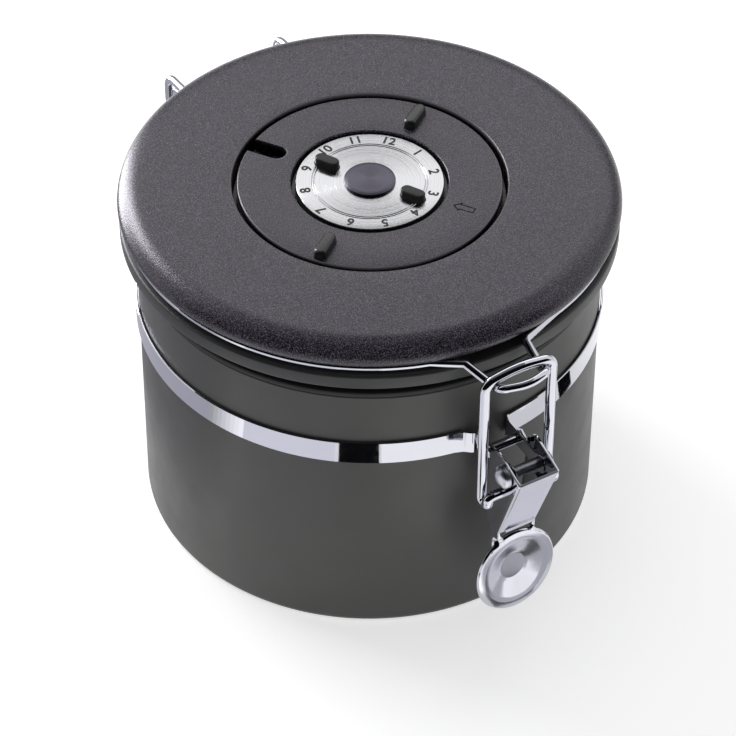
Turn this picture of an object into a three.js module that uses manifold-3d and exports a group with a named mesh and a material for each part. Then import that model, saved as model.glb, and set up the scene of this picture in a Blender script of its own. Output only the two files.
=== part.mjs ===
// Clamp-lid coffee canister with a one-way gas valve and two date dials.
// Millimetres, +Z up, origin at the middle of the base, clamp towards -Y, hinge towards +Y.
import * as THREE from 'three';
import * as BufferGeometryUtils from 'three/addons/utils/BufferGeometryUtils.js';
import Module from 'manifold-3d';

const wasm = await Module();
wasm.setup();

// General clearances
const fitGap = 0.3;
const runGap = 0.1;
const cutOver = 1.5;
const mergeStep = 0.0001;
const mergeShare = 0.1;
const bigSegments = 54;
const midSegments = 40;
const discSegments = 32;
const smallSegments = 20;
const holeSegments = 16;
const tinySegments = 8;
const wireSides = 8;
const endSteps = 6;
const cornerShare = 0.49;

// Canister shell
const bodyRadius = 62.0;
const bodyHeight = 83.1;
const bodyWall = 0.8;
const bodyFloor = 0.9;
const bodyFootRadius = 2.6;
const bodyRimRound = 0.3;

// Clamp strap round the shell
const strapHeight = 7.1;
const strapDrop = 22.3;
const strapThick = 0.6;
const strapCreaseX = 10.9;
const strapLiftOut = 0.8;
const strapLift = 0.25;
const strapSteps = 50;
const earLeftX = 4.4;
const earRightX = 4.0;
const earBend = 0.8;
const earFoldShare = 0.3;
const earHeight = 4.6;
const earTipRadius = 2.9;
const earThick = 0.6;
const tieRadius = 1.3;
const tieReach = 6.3;
const tieHeadRadius = 2.1;
const tieHeadThick = 1.2;
const tieNutRadius = 2.4;
const tieNutSides = 6;

// Lever and its pivot
const pivotOut = 12.6;
const rivetRadius = 1.5;
const rivetHeadRadius = 3.1;
const rivetHeadStep = 0.9;
const rivetHeadHeight = 1.7;
const rivetTailRadius = 2.1;
const rivetTailHeight = 0.5;
const leverHalf = 5.7;
const leverWall = 0.7;
const leverCutOver = 6.0;
const leverCutShare = 0.2;
const leverTopFront = [6.1, 0.7];
const leverBottomFront = [-2.6, -23.6];
const leverTopBack = [-5.2, 4.6];
const leverBackCorner = [-8.0, 1.8];
const leverBackLow = [-9.4, -20.6];
const leverBackNeck = [-6.4, -27.0];
const leverFoot = [-2.6, -26.2];
const leverBackRound = 2.6;
const padDrop = 39.3;
const padInset = 1.95;
const padHalfWidth = 11.9;
const padHalfHeight = 13.5;
const padTilt = 3.0;
const padThick = 0.8;
const padRimShare = 0.87;
const padFlatShare = 0.32;
const padSlopeShares = [0.72, 0.42];
const padDepth = 2.1;
const padRimDrop = 0.8;
const neckThick = 0.9;
const neckHalf = 8.6;
const neckLength = 6.6;
const neckSlotDrop = 0.4;
const neckSlotShare = 0.14;

// Wire bail on the lever
const bailWire = 2.7;
const bailHalf = 10.0;
const eyeOut = -1.2;
const eyeDrop = 6.85;
const bailOut = 8.1;
const bailTopDrop = 1.15;
const bailBow = 1.6;
const bailBowBend = 25.0;
const bailShift = -0.3;
const bailCorner = 3.2;
const bailHookDrop = 3.0;
const bailHookRadius = 1.3;
const bailEndX = 4.3;

// Lid wire: ring, keeper loop and hinge ends
const lidWire = 2.3;
const lidWireGap = 0.35;
const elbowHalf = 8.95;
const elbowShift = -2.3;
const elbowIn = 0.1;
const leaveAngle = 17.0;
const elbowBend = 1.6;
const loopHalf = 6.9;
const loopShift = -0.2;
const loopOut = 10.9;
const loopDip = 3.9;
const loopDipOut = 7.5;
const loopDipBend = 4.0;
const loopFrontDrop = 2.1;
const loopBow = 1.9;
const loopBowBend = 12.0;
const loopCorner = 3.6;
const ringSteps = 21;
const hingeShift = -2.4;
const hingeHalf = 17.1;
const hingeOut = 10.1;
const hingeRise = 0.9;
const hingeWireDrop = 1.6;
const hingeBend = 2.4;
const hingeTopBend = 3.6;
const hingeEndX = 12.2;

// Rear hinge bracket
const bracketThick = 1.2;
const bracketSteps = 8;
const bracketRootShare = 0.3;
const bracketEarX = 14.0;
const bracketEarThick = 1.4;
const bracketEarRound = 3.6;
const bracketRivetX = 7.5;
const bracketRivetRadius = 1.6;
const bracketRivetHead = 2.9;
const bracketRivetDome = 1.0;

// Lid cap and flange, with heights counted from the shell's rim
const rimToFlange = 6.8;
const flangeHeight = 4.2;
const flangeOut = 4.1;
const grooveHeight = 3.3;
const capHeight = 6.0;
const capOut = 4.4;
const capUndercut = 0.7;
const capRoundWidth = 6.6;
const capRoundHeight = 4.5;
const capPlate = 2.4;
const capWall = 3.0;
const skirtWall = 1.8;
const skirtRise = 2.9;
const wellDepth = 5.8;
const wellFloor = 1.8;
const wellWall = 2.0;

// Lid base that plugs the shell
const plugIn = 3.2;
const plugWall = 2.0;
const plugDepth = 5.2;
const plugFloor = 2.0;
const plugLedge = 3.5;
const neckIn = 1.0;
const gasketLip = 1.5;
const gasketLipOut = 0.2;
const gasketTube = 2.0;
const gasketTubeLift = 0.4;
const footIn = 1.6;
const footHeight = 1.3;
const rimOut = 0.5;
const rimWall = 2.1;
const rimGap = 0.5;

// Valve in the middle of the lid base
const valveBarrel = 10.9;
const valveFlange = 13.0;
const valveFlangeThick = 1.2;
const valveHeight = 7.1;
const valveSeatRise = 1.9;
const valveSeatThick = 1.4;
const valveSeatBore = 9.6;
const valveFilterBore = 9.2;
const valveLipBore = 8.2;
const valveLipThick = 0.5;
const valveHoles = 6;
const valveHoleRing = 5.0;
const valveHoleRadius = 1.2;
const valveStemBore = 1.6;
const valveStem = 1.2;
const valveStemLength = 1.9;
const valveDiscRadius = 8.6;
const valveDiscThick = 1.0;
const valveTravel = 0.7;
const valveCapRadius = 12.0;
const valveCapThick = 1.2;
const valveSpigotWall = 1.5;
const filterThick = 0.9;

// Date dials in the lid
const ringOuter = 34.9;
const ringGroove = 1.4;
const ringInnerGap = 1.2;
const ringPlate = 1.8;
const ringSkirt = 1.6;
const ringLift = 1.3;
const ringSink = 0.3;
const ringWeb = 1.4;
const ringRim = 0.5;
const ribIns = [6.7, 5.2];
const ribLength = 9.8;
const ribWidth = 4.0;
const ribHeight = 2.9;
const ribAngles = [34.3, 216.7];
const slotWidth = 5.3;
const slotDepth = 10.3;
const slotAngle = 124.3;
const scaleGap = 0.7;
const scaleThick = 0.7;
const monthRadius = 19.5;
const monthPlate = 1.6;
const monthFaceThick = 0.7;
const hubRadius = 4.0;
const hubDrop = 0.5;
const knobIn = 6.5;
const knobLength = 7.2;
const knobWidth = 3.7;
const knobHeight = 2.2;
const knobAngle = 119.3;
const barEaseShare = 0.3;
const badgeRadius = 6.8;
const badgeThick = 0.9;
const screwRadius = 1.5;
const screwLength = 4.0;
const screwHeadRadius = 3.4;
const screwHeadThick = 1.8;
const screwEaseShares = [0.7, 0.5];
const washerRadius = 7.0;
const washerThick = 1.0;

// Places worked out from the sizes
const flangeLow = bodyHeight + rimToFlange;
const flangeTop = flangeLow + flangeHeight;
const capLow = flangeTop + grooveHeight;
const capTop = capLow + capHeight;
const capPlateLow = capTop - capPlate;
const capBulgeHeight = capTop - capRoundHeight;
const flangeRadius = bodyRadius + flangeOut;
const capRadius = bodyRadius + capOut;
const capLowRadius = capRadius - capUndercut;
const capFlatRadius = capRadius - capRoundWidth;
const capWallInner = capRadius - capWall;
const neckRadius = bodyRadius - neckIn;
const footRadius = bodyRadius - bodyWall - footIn;
const plugRadius = bodyRadius - bodyWall - plugIn;
const plugInner = plugRadius - plugWall;
const plugLow = bodyHeight - plugDepth;
const skirtOuter = plugInner - fitGap;
const skirtLow = bodyHeight + skirtRise;
const rimOuter = bodyRadius + rimOut;
const rimInner = rimOuter - rimWall;
const rimTop = capLow - rimGap;
const gasketLipLow = bodyHeight + fitGap;
const gasketLipTop = gasketLipLow + gasketLip;
const gasketLipRadius = bodyRadius + gasketLipOut;
const gasketTubeLow = plugLow + footHeight + gasketTubeLift;
const strapBottom = bodyHeight - strapDrop;
const strapMid = strapBottom + strapHeight / 2;
const strapInner = bodyRadius + fitGap;
const strapLine = strapInner + strapThick / 2;
const pivotY = -(flangeRadius + pivotOut);
const pivotZ = strapMid;
const eyeY = pivotY - eyeOut;
const eyeZ = pivotZ - eyeDrop;
const bailY = -(flangeRadius + bailOut);
const wireZ = (capLow + flangeTop) / 2;
const bailTop = wireZ - bailTopDrop;
const lidWireRadius = rimOuter + lidWireGap + lidWire / 2;
const elbowReach = flangeRadius - elbowIn;
const loopReach = flangeRadius + loopOut;
const loopDipReach = flangeRadius + loopDipOut;
const hingeReach = flangeRadius + hingeOut;
const hingeHeight = bodyHeight + hingeRise;
const wellRadius = ringOuter + ringGroove;
const wellFloorTop = capTop - wellDepth;
const ringLow = wellFloorTop + ringLift;
const ringTop = capTop - ringSink;
const valveTop = plugLow + valveHeight;
const valveSeatTop = plugLow + valveSeatRise;
const valveSeatLow = valveSeatTop - valveSeatThick;
const discLow = valveSeatTop + fitGap;
const ringInner = monthRadius + ringInnerGap;
const ribReaches = ribIns.map((inset) => ringOuter - inset);
const slotInner = ringOuter - slotDepth;
const scaleInner = ringInner + ringSkirt + scaleGap;
const knobReach = monthRadius - knobIn;
const monthLow = ringLow + ringWeb + fitGap;
const monthTop = monthLow + monthPlate;
const faceLow = monthTop + runGap;
const faceTop = faceLow + monthFaceThick;
const hubLow = wellFloorTop - wellFloor - hubDrop;

// Paints and metals
const paint = { color: 0x4f4f50, roughness: 0.5, metalness: 0.1 };
const capPlastic = { color: 0x47464b, roughness: 0.55, metalness: 0.0 };
const darkPlastic = { color: 0x38383b, roughness: 0.6, metalness: 0.0 };
const blackPlastic = { color: 0x17171a, roughness: 0.5, metalness: 0.0 };
const chrome = { color: 0xd9dade, roughness: 0.12, metalness: 1.0 };
const brushed = { color: 0xc4c5c9, roughness: 0.3, metalness: 1.0 };
const rubber = { color: 0x242426, roughness: 0.75, metalness: 0.0 };
const clearRubber = { color: 0xd8d6d0, roughness: 0.6, metalness: 0.0 };
const felt = { color: 0xe6e2d8, roughness: 0.95, metalness: 0.0 };
const paper = { color: 0xe8e8e4, roughness: 0.8, metalness: 0.0 };

const canister = new THREE.Group();

function addPart(name, geometry, finish) {
  const mesh = new THREE.Mesh(geometry, new THREE.MeshStandardMaterial(finish));
  mesh.name = name;
  canister.add(mesh);
  return mesh;
}

function toManifold(geometry) {
  const bare = geometry.clone();
  bare.deleteAttribute('normal');
  bare.deleteAttribute('uv');
  const places = bare.attributes.position.array;
  for (let i = 0; i < places.length; i += 1) places[i] = Math.round(places[i] / mergeStep) * mergeStep;
  const merged = BufferGeometryUtils.mergeVertices(bare, mergeStep * mergeShare);
  const mesh = new wasm.Mesh({
    numProp: 3,
    vertProperties: new Float32Array(merged.attributes.position.array),
    triVerts: new Uint32Array(merged.index.array),
  });
  mesh.merge();
  return new wasm.Manifold(mesh);
}

function toGeometry(manifold) {
  const mesh = manifold.getMesh();
  const geometry = new THREE.BufferGeometry();
  geometry.setAttribute('position', new THREE.BufferAttribute(mesh.vertProperties, 3));
  geometry.setIndex(new THREE.BufferAttribute(mesh.triVerts, 1));
  geometry.computeVertexNormals();
  return geometry;
}

// A closed ring or disc profile of [radius, height] points turned about Z
function turned(profile, segments) {
  const points = profile.map(([radius, height]) => new THREE.Vector2(radius, height));
  const closed = profile[0][0] > 0 || profile[profile.length - 1][0] > 0;
  if (closed) points.push(points[0].clone());
  const geometry = new THREE.LatheGeometry(points, segments);
  geometry.rotateX(Math.PI / 2);
  return geometry;
}

// Points of a quarter ellipse from one angle to another
function ellipsePoints(centre, halves, fromDeg, toDeg, count) {
  const points = [];
  for (let i = 0; i <= count; i += 1) {
    const angle = THREE.MathUtils.degToRad(fromDeg + ((toDeg - fromDeg) * i) / count);
    points.push([centre[0] + halves[0] * Math.cos(angle), centre[1] + halves[1] * Math.sin(angle)]);
  }
  return points;
}

function zCylinder(radius, low, high, segments) {
  const geometry = new THREE.CylinderGeometry(radius, radius, high - low, segments);
  geometry.rotateX(Math.PI / 2);
  geometry.translate(0, 0, (low + high) / 2);
  return geometry;
}

function xCylinder(radius, low, high, y, z, segments) {
  const geometry = new THREE.CylinderGeometry(radius, radius, high - low, segments);
  geometry.rotateZ(Math.PI / 2);
  geometry.translate((low + high) / 2, y, z);
  return geometry;
}

// A flat outline of [x, y] points raised from one height to another
function raised(outline, low, high) {
  const shape = new THREE.Shape(outline.map(([x, y]) => new THREE.Vector2(x, y)));
  const geometry = new THREE.ExtrudeGeometry(shape, { depth: high - low, bevelEnabled: false });
  geometry.translate(0, 0, low);
  return geometry;
}

// A side outline of [y, z] points made thick along X
function sideways(outline, low, high) {
  const shape = new THREE.Shape(outline.map(([y, z]) => new THREE.Vector2(y, z)));
  const geometry = new THREE.ExtrudeGeometry(shape, { depth: high - low, bevelEnabled: false });
  const swap = new THREE.Matrix4().set(0, 0, 1, 0, 1, 0, 0, 0, 0, 1, 0, 0, 0, 0, 0, 1);
  geometry.applyMatrix4(swap);
  geometry.translate(low, 0, 0);
  return geometry;
}

// A wire's route that passes through its points in equal steps
class WireRoute extends THREE.Curve {
  constructor(points) {
    super();
    this.points = points;
  }

  getPoint(t, target = new THREE.Vector3()) {
    const place = THREE.MathUtils.clamp(t, 0, 1) * (this.points.length - 1);
    const index = Math.min(Math.floor(place), this.points.length - 2);
    return target.lerpVectors(this.points[index], this.points[index + 1], place - index);
  }

  getPointAt(u, target) {
    return this.getPoint(u, target);
  }
}

// Corner points replaced by arcs of up to the given radius
function roundedRoute(corners, radii, steps) {
  const route = [corners[0].clone()];
  for (let i = 1; i < corners.length - 1; i += 1) {
    const corner = corners[i];
    const back = corners[i - 1].clone().sub(corner);
    const ahead = corners[i + 1].clone().sub(corner);
    const half = back.angleTo(ahead) / 2;
    const longest = cornerShare * Math.min(back.length(), ahead.length());
    const reach = Math.min(radii[i] / Math.tan(half), longest);
    const start = corner.clone().addScaledVector(back.normalize(), reach);
    const end = corner.clone().addScaledVector(ahead.normalize(), reach);
    const bisector = back.clone().add(ahead).normalize();
    const centre = corner.clone().addScaledVector(bisector, reach / Math.cos(half));
    const from = start.clone().sub(centre);
    const to = end.clone().sub(centre);
    const sweep = from.angleTo(to);
    for (let k = 0; k <= steps; k += 1) {
      const part = (k / steps) * sweep;
      const point = from.clone().multiplyScalar(Math.sin(sweep - part) / Math.sin(sweep));
      point.addScaledVector(to, Math.sin(part) / Math.sin(sweep));
      route.push(point.add(centre));
    }
  }
  route.push(corners[corners.length - 1].clone());
  return route;
}

function wireSolid(points, diameter, sides) {
  const ring = [];
  for (let i = 0; i < sides; i += 1) {
    const angle = (2 * Math.PI * i) / sides;
    ring.push(new THREE.Vector2(Math.cos(angle), Math.sin(angle)).multiplyScalar(diameter / 2));
  }
  const settings = { steps: points.length - 1, extrudePath: new WireRoute(points), bevelEnabled: false };
  return new THREE.ExtrudeGeometry(new THREE.Shape(ring), settings);
}

// A centre line made into a strip of even width
function stripOutline(line, width) {
  const left = [];
  const right = [];
  line.forEach((point, i) => {
    const before = line[Math.max(i - 1, 0)];
    const after = line[Math.min(i + 1, line.length - 1)];
    const run = new THREE.Vector2(after[0] - before[0], after[1] - before[1]).normalize();
    left.push([point[0] - (run.y * width) / 2, point[1] + (run.x * width) / 2]);
    right.push([point[0] + (run.y * width) / 2, point[1] - (run.x * width) / 2]);
  });
  return left.concat(right.reverse());
}

// Outline of a bar with two round ends
function stadium(length, width) {
  const straight = (length - width) / 2;
  const halves = [width / 2, width / 2];
  const far = ellipsePoints([straight, 0], halves, -90, 90, endSteps);
  const near = ellipsePoints([-straight, 0], halves, 90, 270, endSteps);
  return far.concat(near);
}

// A round-ended bar that stands on a dial face with its top edge eased
function dialBar(length, width, height, reach, angle, low) {
  const ease = height * barEaseShare;
  const shape = new THREE.Shape(stadium(length, width).map(([x, y]) => new THREE.Vector2(x, y)));
  const settings = {
    depth: height - ease,
    bevelEnabled: true,
    bevelThickness: ease,
    bevelSize: ease,
    bevelOffset: -ease,
    bevelSegments: 1,
  };
  const geometry = new THREE.ExtrudeGeometry(shape, settings);
  geometry.translate(reach, 0, low);
  geometry.rotateZ(THREE.MathUtils.degToRad(angle));
  return geometry;
}

// A plain round-ended cutter that goes right through a dial
function slotCutter(length, width, reach, angle, low, high) {
  const geometry = raised(stadium(length, width), low, high);
  geometry.translate(reach, 0, 0);
  geometry.rotateZ(THREE.MathUtils.degToRad(angle));
  return geometry;
}

function boltCircle(count, reach, radius, low, high) {
  const holes = [];
  for (let i = 0; i < count; i += 1) {
    const angle = (2 * Math.PI * i) / count;
    const hole = zCylinder(radius, low, high, tinySegments);
    hole.translate(reach * Math.cos(angle), reach * Math.sin(angle), 0);
    holes.push(hole);
  }
  return holes;
}

function makeShell() {
  const inner = bodyRadius - bodyWall;
  const innerFoot = bodyFootRadius - bodyWall;
  const outline = [[0, 0]];
  const footCentre = [bodyRadius - bodyFootRadius, bodyFootRadius];
  outline.push(...ellipsePoints(footCentre, [bodyFootRadius, bodyFootRadius], -90, 0, 5));
  outline.push([bodyRadius, bodyHeight - bodyRimRound]);
  outline.push([bodyRadius - bodyRimRound, bodyHeight]);
  outline.push([inner + bodyRimRound, bodyHeight]);
  outline.push([inner, bodyHeight - bodyRimRound]);
  const innerCentre = [inner - innerFoot, bodyFloor + innerFoot];
  outline.push(...ellipsePoints(innerCentre, [innerFoot, innerFoot], 0, -90, 4));
  outline.push([0, bodyFloor]);
  addPart('canister_body', turned(outline, bigSegments), paint);
}

// The strap runs round the back and folds outwards at the front into two ears
function makeStrap() {
  const line = [];
  const creaseAngle = Math.asin(strapCreaseX / strapLine);
  const earRoot = strapLine + strapLift + earBend;
  const front = (earX) => [
    [earX, pivotY],
    [earX, -earRoot],
    [earX + earBend * earFoldShare, -(earRoot - earBend * (1 - earFoldShare))],
    [earX + strapLiftOut, -(strapLine + strapLift)],
  ];
  line.push(...front(earRightX));
  for (let i = 0; i <= strapSteps; i += 1) {
    const angle = creaseAngle + ((2 * Math.PI - 2 * creaseAngle) * i) / strapSteps;
    line.push([strapLine * Math.sin(angle), -strapLine * Math.cos(angle)]);
  }
  line.push(...front(earLeftX).map(([x, y]) => [-x, y]).reverse());
  let strap = toManifold(raised(stripOutline(line, strapThick), strapBottom, strapBottom + strapHeight));
  const reach = earLeftX + cutOver;
  for (const side of [-1, 1]) {
    strap = strap.subtract(toManifold(earTrim(side, reach, earRoot)));
  }
  for (const middle of [-earLeftX, earRightX]) {
    const low = middle - earThick / 2;
    const tip = xCylinder(earTipRadius, low, low + earThick, pivotY, pivotZ, smallSegments);
    strap = strap.add(toManifold(tip));
  }
  const rivetBore = rivetRadius + runGap / 2;
  strap = strap.subtract(toManifold(xCylinder(rivetBore, -reach, reach, pivotY, pivotZ, holeSegments)));
  const tieY = -(bodyRadius + tieReach);
  const tieBore = tieRadius + runGap / 2;
  strap = strap.subtract(toManifold(xCylinder(tieBore, -reach, reach, tieY, pivotZ, holeSegments)));
  addPart('clamp_strap', toGeometry(strap), chrome);
}

// Block that trims the ears above or below to less than the strap's height
function earTrim(side, reach, earRoot) {
  const depth = -pivotY - earRoot + cutOver;
  const trim = (strapHeight - earHeight) / 2;
  const block = new THREE.BoxGeometry(2 * reach, depth, trim + cutOver);
  block.translate(0, -(earRoot + depth / 2), pivotZ + (side * (earHeight + trim + cutOver)) / 2);
  return block;
}

// Screw and nut that draw the two ears together
function makeTieScrew() {
  const tieY = -(bodyRadius + tieReach);
  const headSeat = -(earLeftX + earThick / 2 + runGap);
  const headMiddle = headSeat - tieHeadThick / 2;
  const seat = earRightX + earThick / 2 + runGap;
  const far = seat + tieHeadThick;
  const shank = toManifold(xCylinder(tieRadius, headMiddle, far, tieY, pivotZ, holeSegments));
  const headTop = headSeat - tieHeadThick;
  const head = toManifold(xCylinder(tieHeadRadius, headTop, headSeat, tieY, pivotZ, holeSegments));
  addPart('strap_screw', toGeometry(shank.add(head)), chrome);
  const nut = toManifold(xCylinder(tieNutRadius, seat, far, tieY, pivotZ, tieNutSides));
  const boreRadius = tieRadius + runGap;
  const bore = toManifold(xCylinder(boreRadius, seat - cutOver, far + cutOver, tieY, pivotZ, holeSegments));
  addPart('strap_nut', toGeometry(nut.subtract(bore)), chrome);
}

// Domed pin through the ears that the lever turns on
function makeRivet() {
  const seat = leverHalf + fitGap;
  const crown = seat + rivetHeadStep;
  const dome = ellipsePoints([0, -crown], [rivetHeadRadius, rivetHeadHeight], -90, 0, endSteps);
  const outline = [[0, -(crown + rivetHeadHeight)], ...dome.slice(1)];
  outline.push([rivetHeadRadius, -seat], [rivetRadius, -seat], [rivetRadius, seat]);
  const tail = seat + rivetTailHeight;
  outline.push([rivetTailRadius, seat], [rivetTailRadius, tail], [0, tail]);
  const rivet = turned(outline, smallSegments);
  rivet.rotateY(Math.PI / 2);
  rivet.translate(0, pivotY, pivotZ);
  addPart('lever_rivet', rivet, chrome);
}

function fromPivot([out, up]) {
  return [pivotY - out, pivotZ + up];
}

// Channel outline seen from the side, shrunk or grown by a wall
function leverOutline(shift) {
  const topFront = fromPivot([leverTopFront[0] - shift, leverTopFront[1]]);
  const lowFront = fromPivot([leverBottomFront[0] - shift, leverBottomFront[1]]);
  const neck = fromPivot(leverBackNeck);
  const backLow = fromPivot(leverBackLow);
  const corner = fromPivot(leverBackCorner);
  const topBack = fromPivot(leverTopBack);
  const foot = fromPivot([leverFoot[0] - shift, leverFoot[1]]);
  return [topFront, topBack, corner, backLow, neck, foot, lowFront];
}

// A flat outline with some of its inner corners rounded
function roundedOutline(points, radii) {
  const corners = points.map(([x, y]) => new THREE.Vector3(x, y, 0));
  return roundedRoute(corners, radii, 3).map((point) => [point.x, point.y]);
}

// Thumb pad: a shallow oval dish below the channel
function padSolid() {
  const rim = padRimShare * padHalfWidth;
  const flat = padFlatShare * padHalfWidth;
  const slope = [rim * padSlopeShares[0], -padDepth * padSlopeShares[1]];
  const outline = [
    [0, -padDepth],
    [flat, -padDepth],
    slope,
    [rim, 0],
    [padHalfWidth, -padRimDrop],
    [padHalfWidth, -padRimDrop - padThick],
    [rim, -padThick],
    [slope[0], slope[1] - padThick],
    [flat, -padDepth - padThick],
    [0, -padDepth - padThick],
  ].reverse();
  const pad = turned(outline, midSegments);
  pad.scale(1, padHalfHeight / padHalfWidth, 1);
  pad.rotateX(Math.PI / 2 - THREE.MathUtils.degToRad(padTilt));
  pad.translate(0, pivotY + padInset, pivotZ - padDrop);
  return pad;
}

// Sheet on both sides of a slot that widens from the channel's foot to the pad's rim
function neckSolid() {
  const top = pivotZ + leverBottomFront[1] - neckSlotDrop;
  const outline = [
    [-leverHalf, top],
    [-neckHalf, top - neckLength],
    [neckHalf, top - neckLength],
    [leverHalf, top],
  ];
  const slotHalf = leverHalf - leverWall;
  const slotLow = pivotZ - padDrop + padHalfHeight * (1 - neckSlotShare);
  const slot = [
    [-slotHalf, slotLow],
    [slotHalf, slotLow],
    [slotHalf, top + cutOver],
    [-slotHalf, top + cutOver],
  ];
  const front = pivotY - leverBottomFront[0];
  const sheet = standing(outline, front, neckThick);
  return sheet.subtract(standing(slot, front - cutOver, neckThick + 2 * cutOver));
}

// An [x, z] outline made thick towards the shell from a given front
function standing(outline, front, thick) {
  const shape = new THREE.Shape(outline.map(([x, z]) => new THREE.Vector2(x, z)));
  const geometry = new THREE.ExtrudeGeometry(shape, { depth: thick, bevelEnabled: false });
  geometry.rotateX(Math.PI / 2);
  geometry.translate(0, front + thick, 0);
  return toManifold(geometry);
}

function makeLever() {
  const radii = [0, leverBackRound, leverBackRound, 0, 0, 0, 0];
  const outline = roundedOutline(leverOutline(0), radii);
  let lever = toManifold(sideways(outline, -leverHalf, leverHalf));
  const inside = leverHalf - leverWall;
  const over = leverCutOver;
  const [topFront, topBack, corner, backLow, neck, foot, lowFront] = leverOutline(leverWall);
  const opening = [
    topFront,
    [topFront[0] + over * leverCutShare, topFront[1] + over],
    [topBack[0] + over, topBack[1] + over],
    [corner[0] + over, corner[1]],
    [backLow[0] + over, backLow[1]],
    [neck[0] + over, neck[1] - over],
    [foot[0] - over, foot[1] - over],
    [foot[0] - over, lowFront[1]],
    lowFront,
  ];
  lever = lever.subtract(toManifold(sideways(opening, -inside, inside)));
  lever = lever.add(neckSolid());
  lever = lever.add(toManifold(padSolid()));
  const reach = leverHalf + cutOver;
  const rivetBore = rivetRadius + runGap;
  lever = lever.subtract(toManifold(xCylinder(rivetBore, -reach, reach, pivotY, pivotZ, holeSegments)));
  const eyeBore = bailWire / 2 + runGap;
  lever = lever.subtract(toManifold(xCylinder(eyeBore, -reach, reach, eyeY, eyeZ, holeSegments)));
  addPart('clamp_lever', toGeometry(lever), chrome);
}

// Wire bail: two hooked ends in the lever, legs, and a top bar over the lid wire
function makeBail() {
  const hookLow = eyeZ - bailHookDrop;
  const side = (sign) => [
    new THREE.Vector3(bailShift + sign * bailEndX, eyeY, eyeZ),
    new THREE.Vector3(bailShift + sign * bailHalf, eyeY, eyeZ),
    new THREE.Vector3(bailShift + sign * bailHalf, eyeY, hookLow),
    new THREE.Vector3(bailShift + sign * bailHalf, bailY, hookLow),
    new THREE.Vector3(bailShift + sign * bailHalf, bailY, bailTop),
  ];
  const crest = new THREE.Vector3(bailShift, bailY, bailTop + bailBow);
  const corners = [...side(-1), crest, ...side(1).reverse()];
  const hook = Math.abs(eyeY - bailY) / 2;
  const bends = [0, bailHookRadius, hook, hook, bailCorner];
  const radii = [...bends, bailBowBend, ...bends.reverse()];
  addPart('wire_bail', wireSolid(roundedRoute(corners, radii, 4), bailWire, wireSides), chrome);
}

// Lid wire: hinge ends, ring round the lid, and the keeper loop at the front
function makeLidWire() {
  const ringPoint = (deg) => {
    const angle = THREE.MathUtils.degToRad(deg);
    return new THREE.Vector3(lidWireRadius * Math.sin(angle), -lidWireRadius * Math.cos(angle), wireZ);
  };
  const elbow = (sign) => new THREE.Vector3(elbowShift + sign * elbowHalf, -elbowReach, wireZ);
  const dip = (sign) => new THREE.Vector3(loopShift + sign * loopHalf, -loopDipReach, wireZ - loopDip);
  const front = (sign) => new THREE.Vector3(loopShift + sign * loopHalf, -loopReach, wireZ - loopFrontDrop);
  const bow = new THREE.Vector3(loopShift, -(loopReach + loopBow), wireZ - loopFrontDrop);
  const half = (sign) => {
    const legX = hingeShift + sign * hingeHalf;
    const backAngle = 180 - THREE.MathUtils.radToDeg(Math.asin((sign * legX + 2 * hingeBend) / lidWireRadius));
    const route = [
      new THREE.Vector3(hingeShift + sign * hingeEndX, hingeReach, hingeHeight),
      new THREE.Vector3(legX, hingeReach, hingeHeight),
      new THREE.Vector3(legX, hingeReach, wireZ - hingeWireDrop),
    ];
    const root = new THREE.Vector3(legX, Math.sqrt(lidWireRadius ** 2 - legX ** 2), wireZ);
    const corners = [...route, root, ringPoint(sign * backAngle)];
    const lead = roundedRoute(corners, [0, hingeBend, hingeTopBend, hingeBend, 0], 4);
    lead.pop();
    for (let i = 0; i <= ringSteps; i += 1) {
      lead.push(ringPoint(sign * (backAngle + ((leaveAngle - backAngle) * i) / ringSteps)));
    }
    return lead;
  };
  const leftHalf = half(-1);
  const rightHalf = half(1).reverse();
  const keeperCorners = [
    leftHalf[leftHalf.length - 1],
    elbow(-1),
    dip(-1),
    front(-1),
    bow,
    front(1),
    dip(1),
    elbow(1),
    rightHalf[0],
  ];
  const bends = [elbowBend, loopDipBend, loopCorner];
  const keeper = roundedRoute(keeperCorners, [0, ...bends, loopBowBend, ...bends.reverse(), 0], 4);
  const points = [...leftHalf, ...keeper.slice(1, -1), ...rightHalf];
  addPart('lid_wire', wireSolid(points, lidWire, wireSides), chrome);
}

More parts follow.
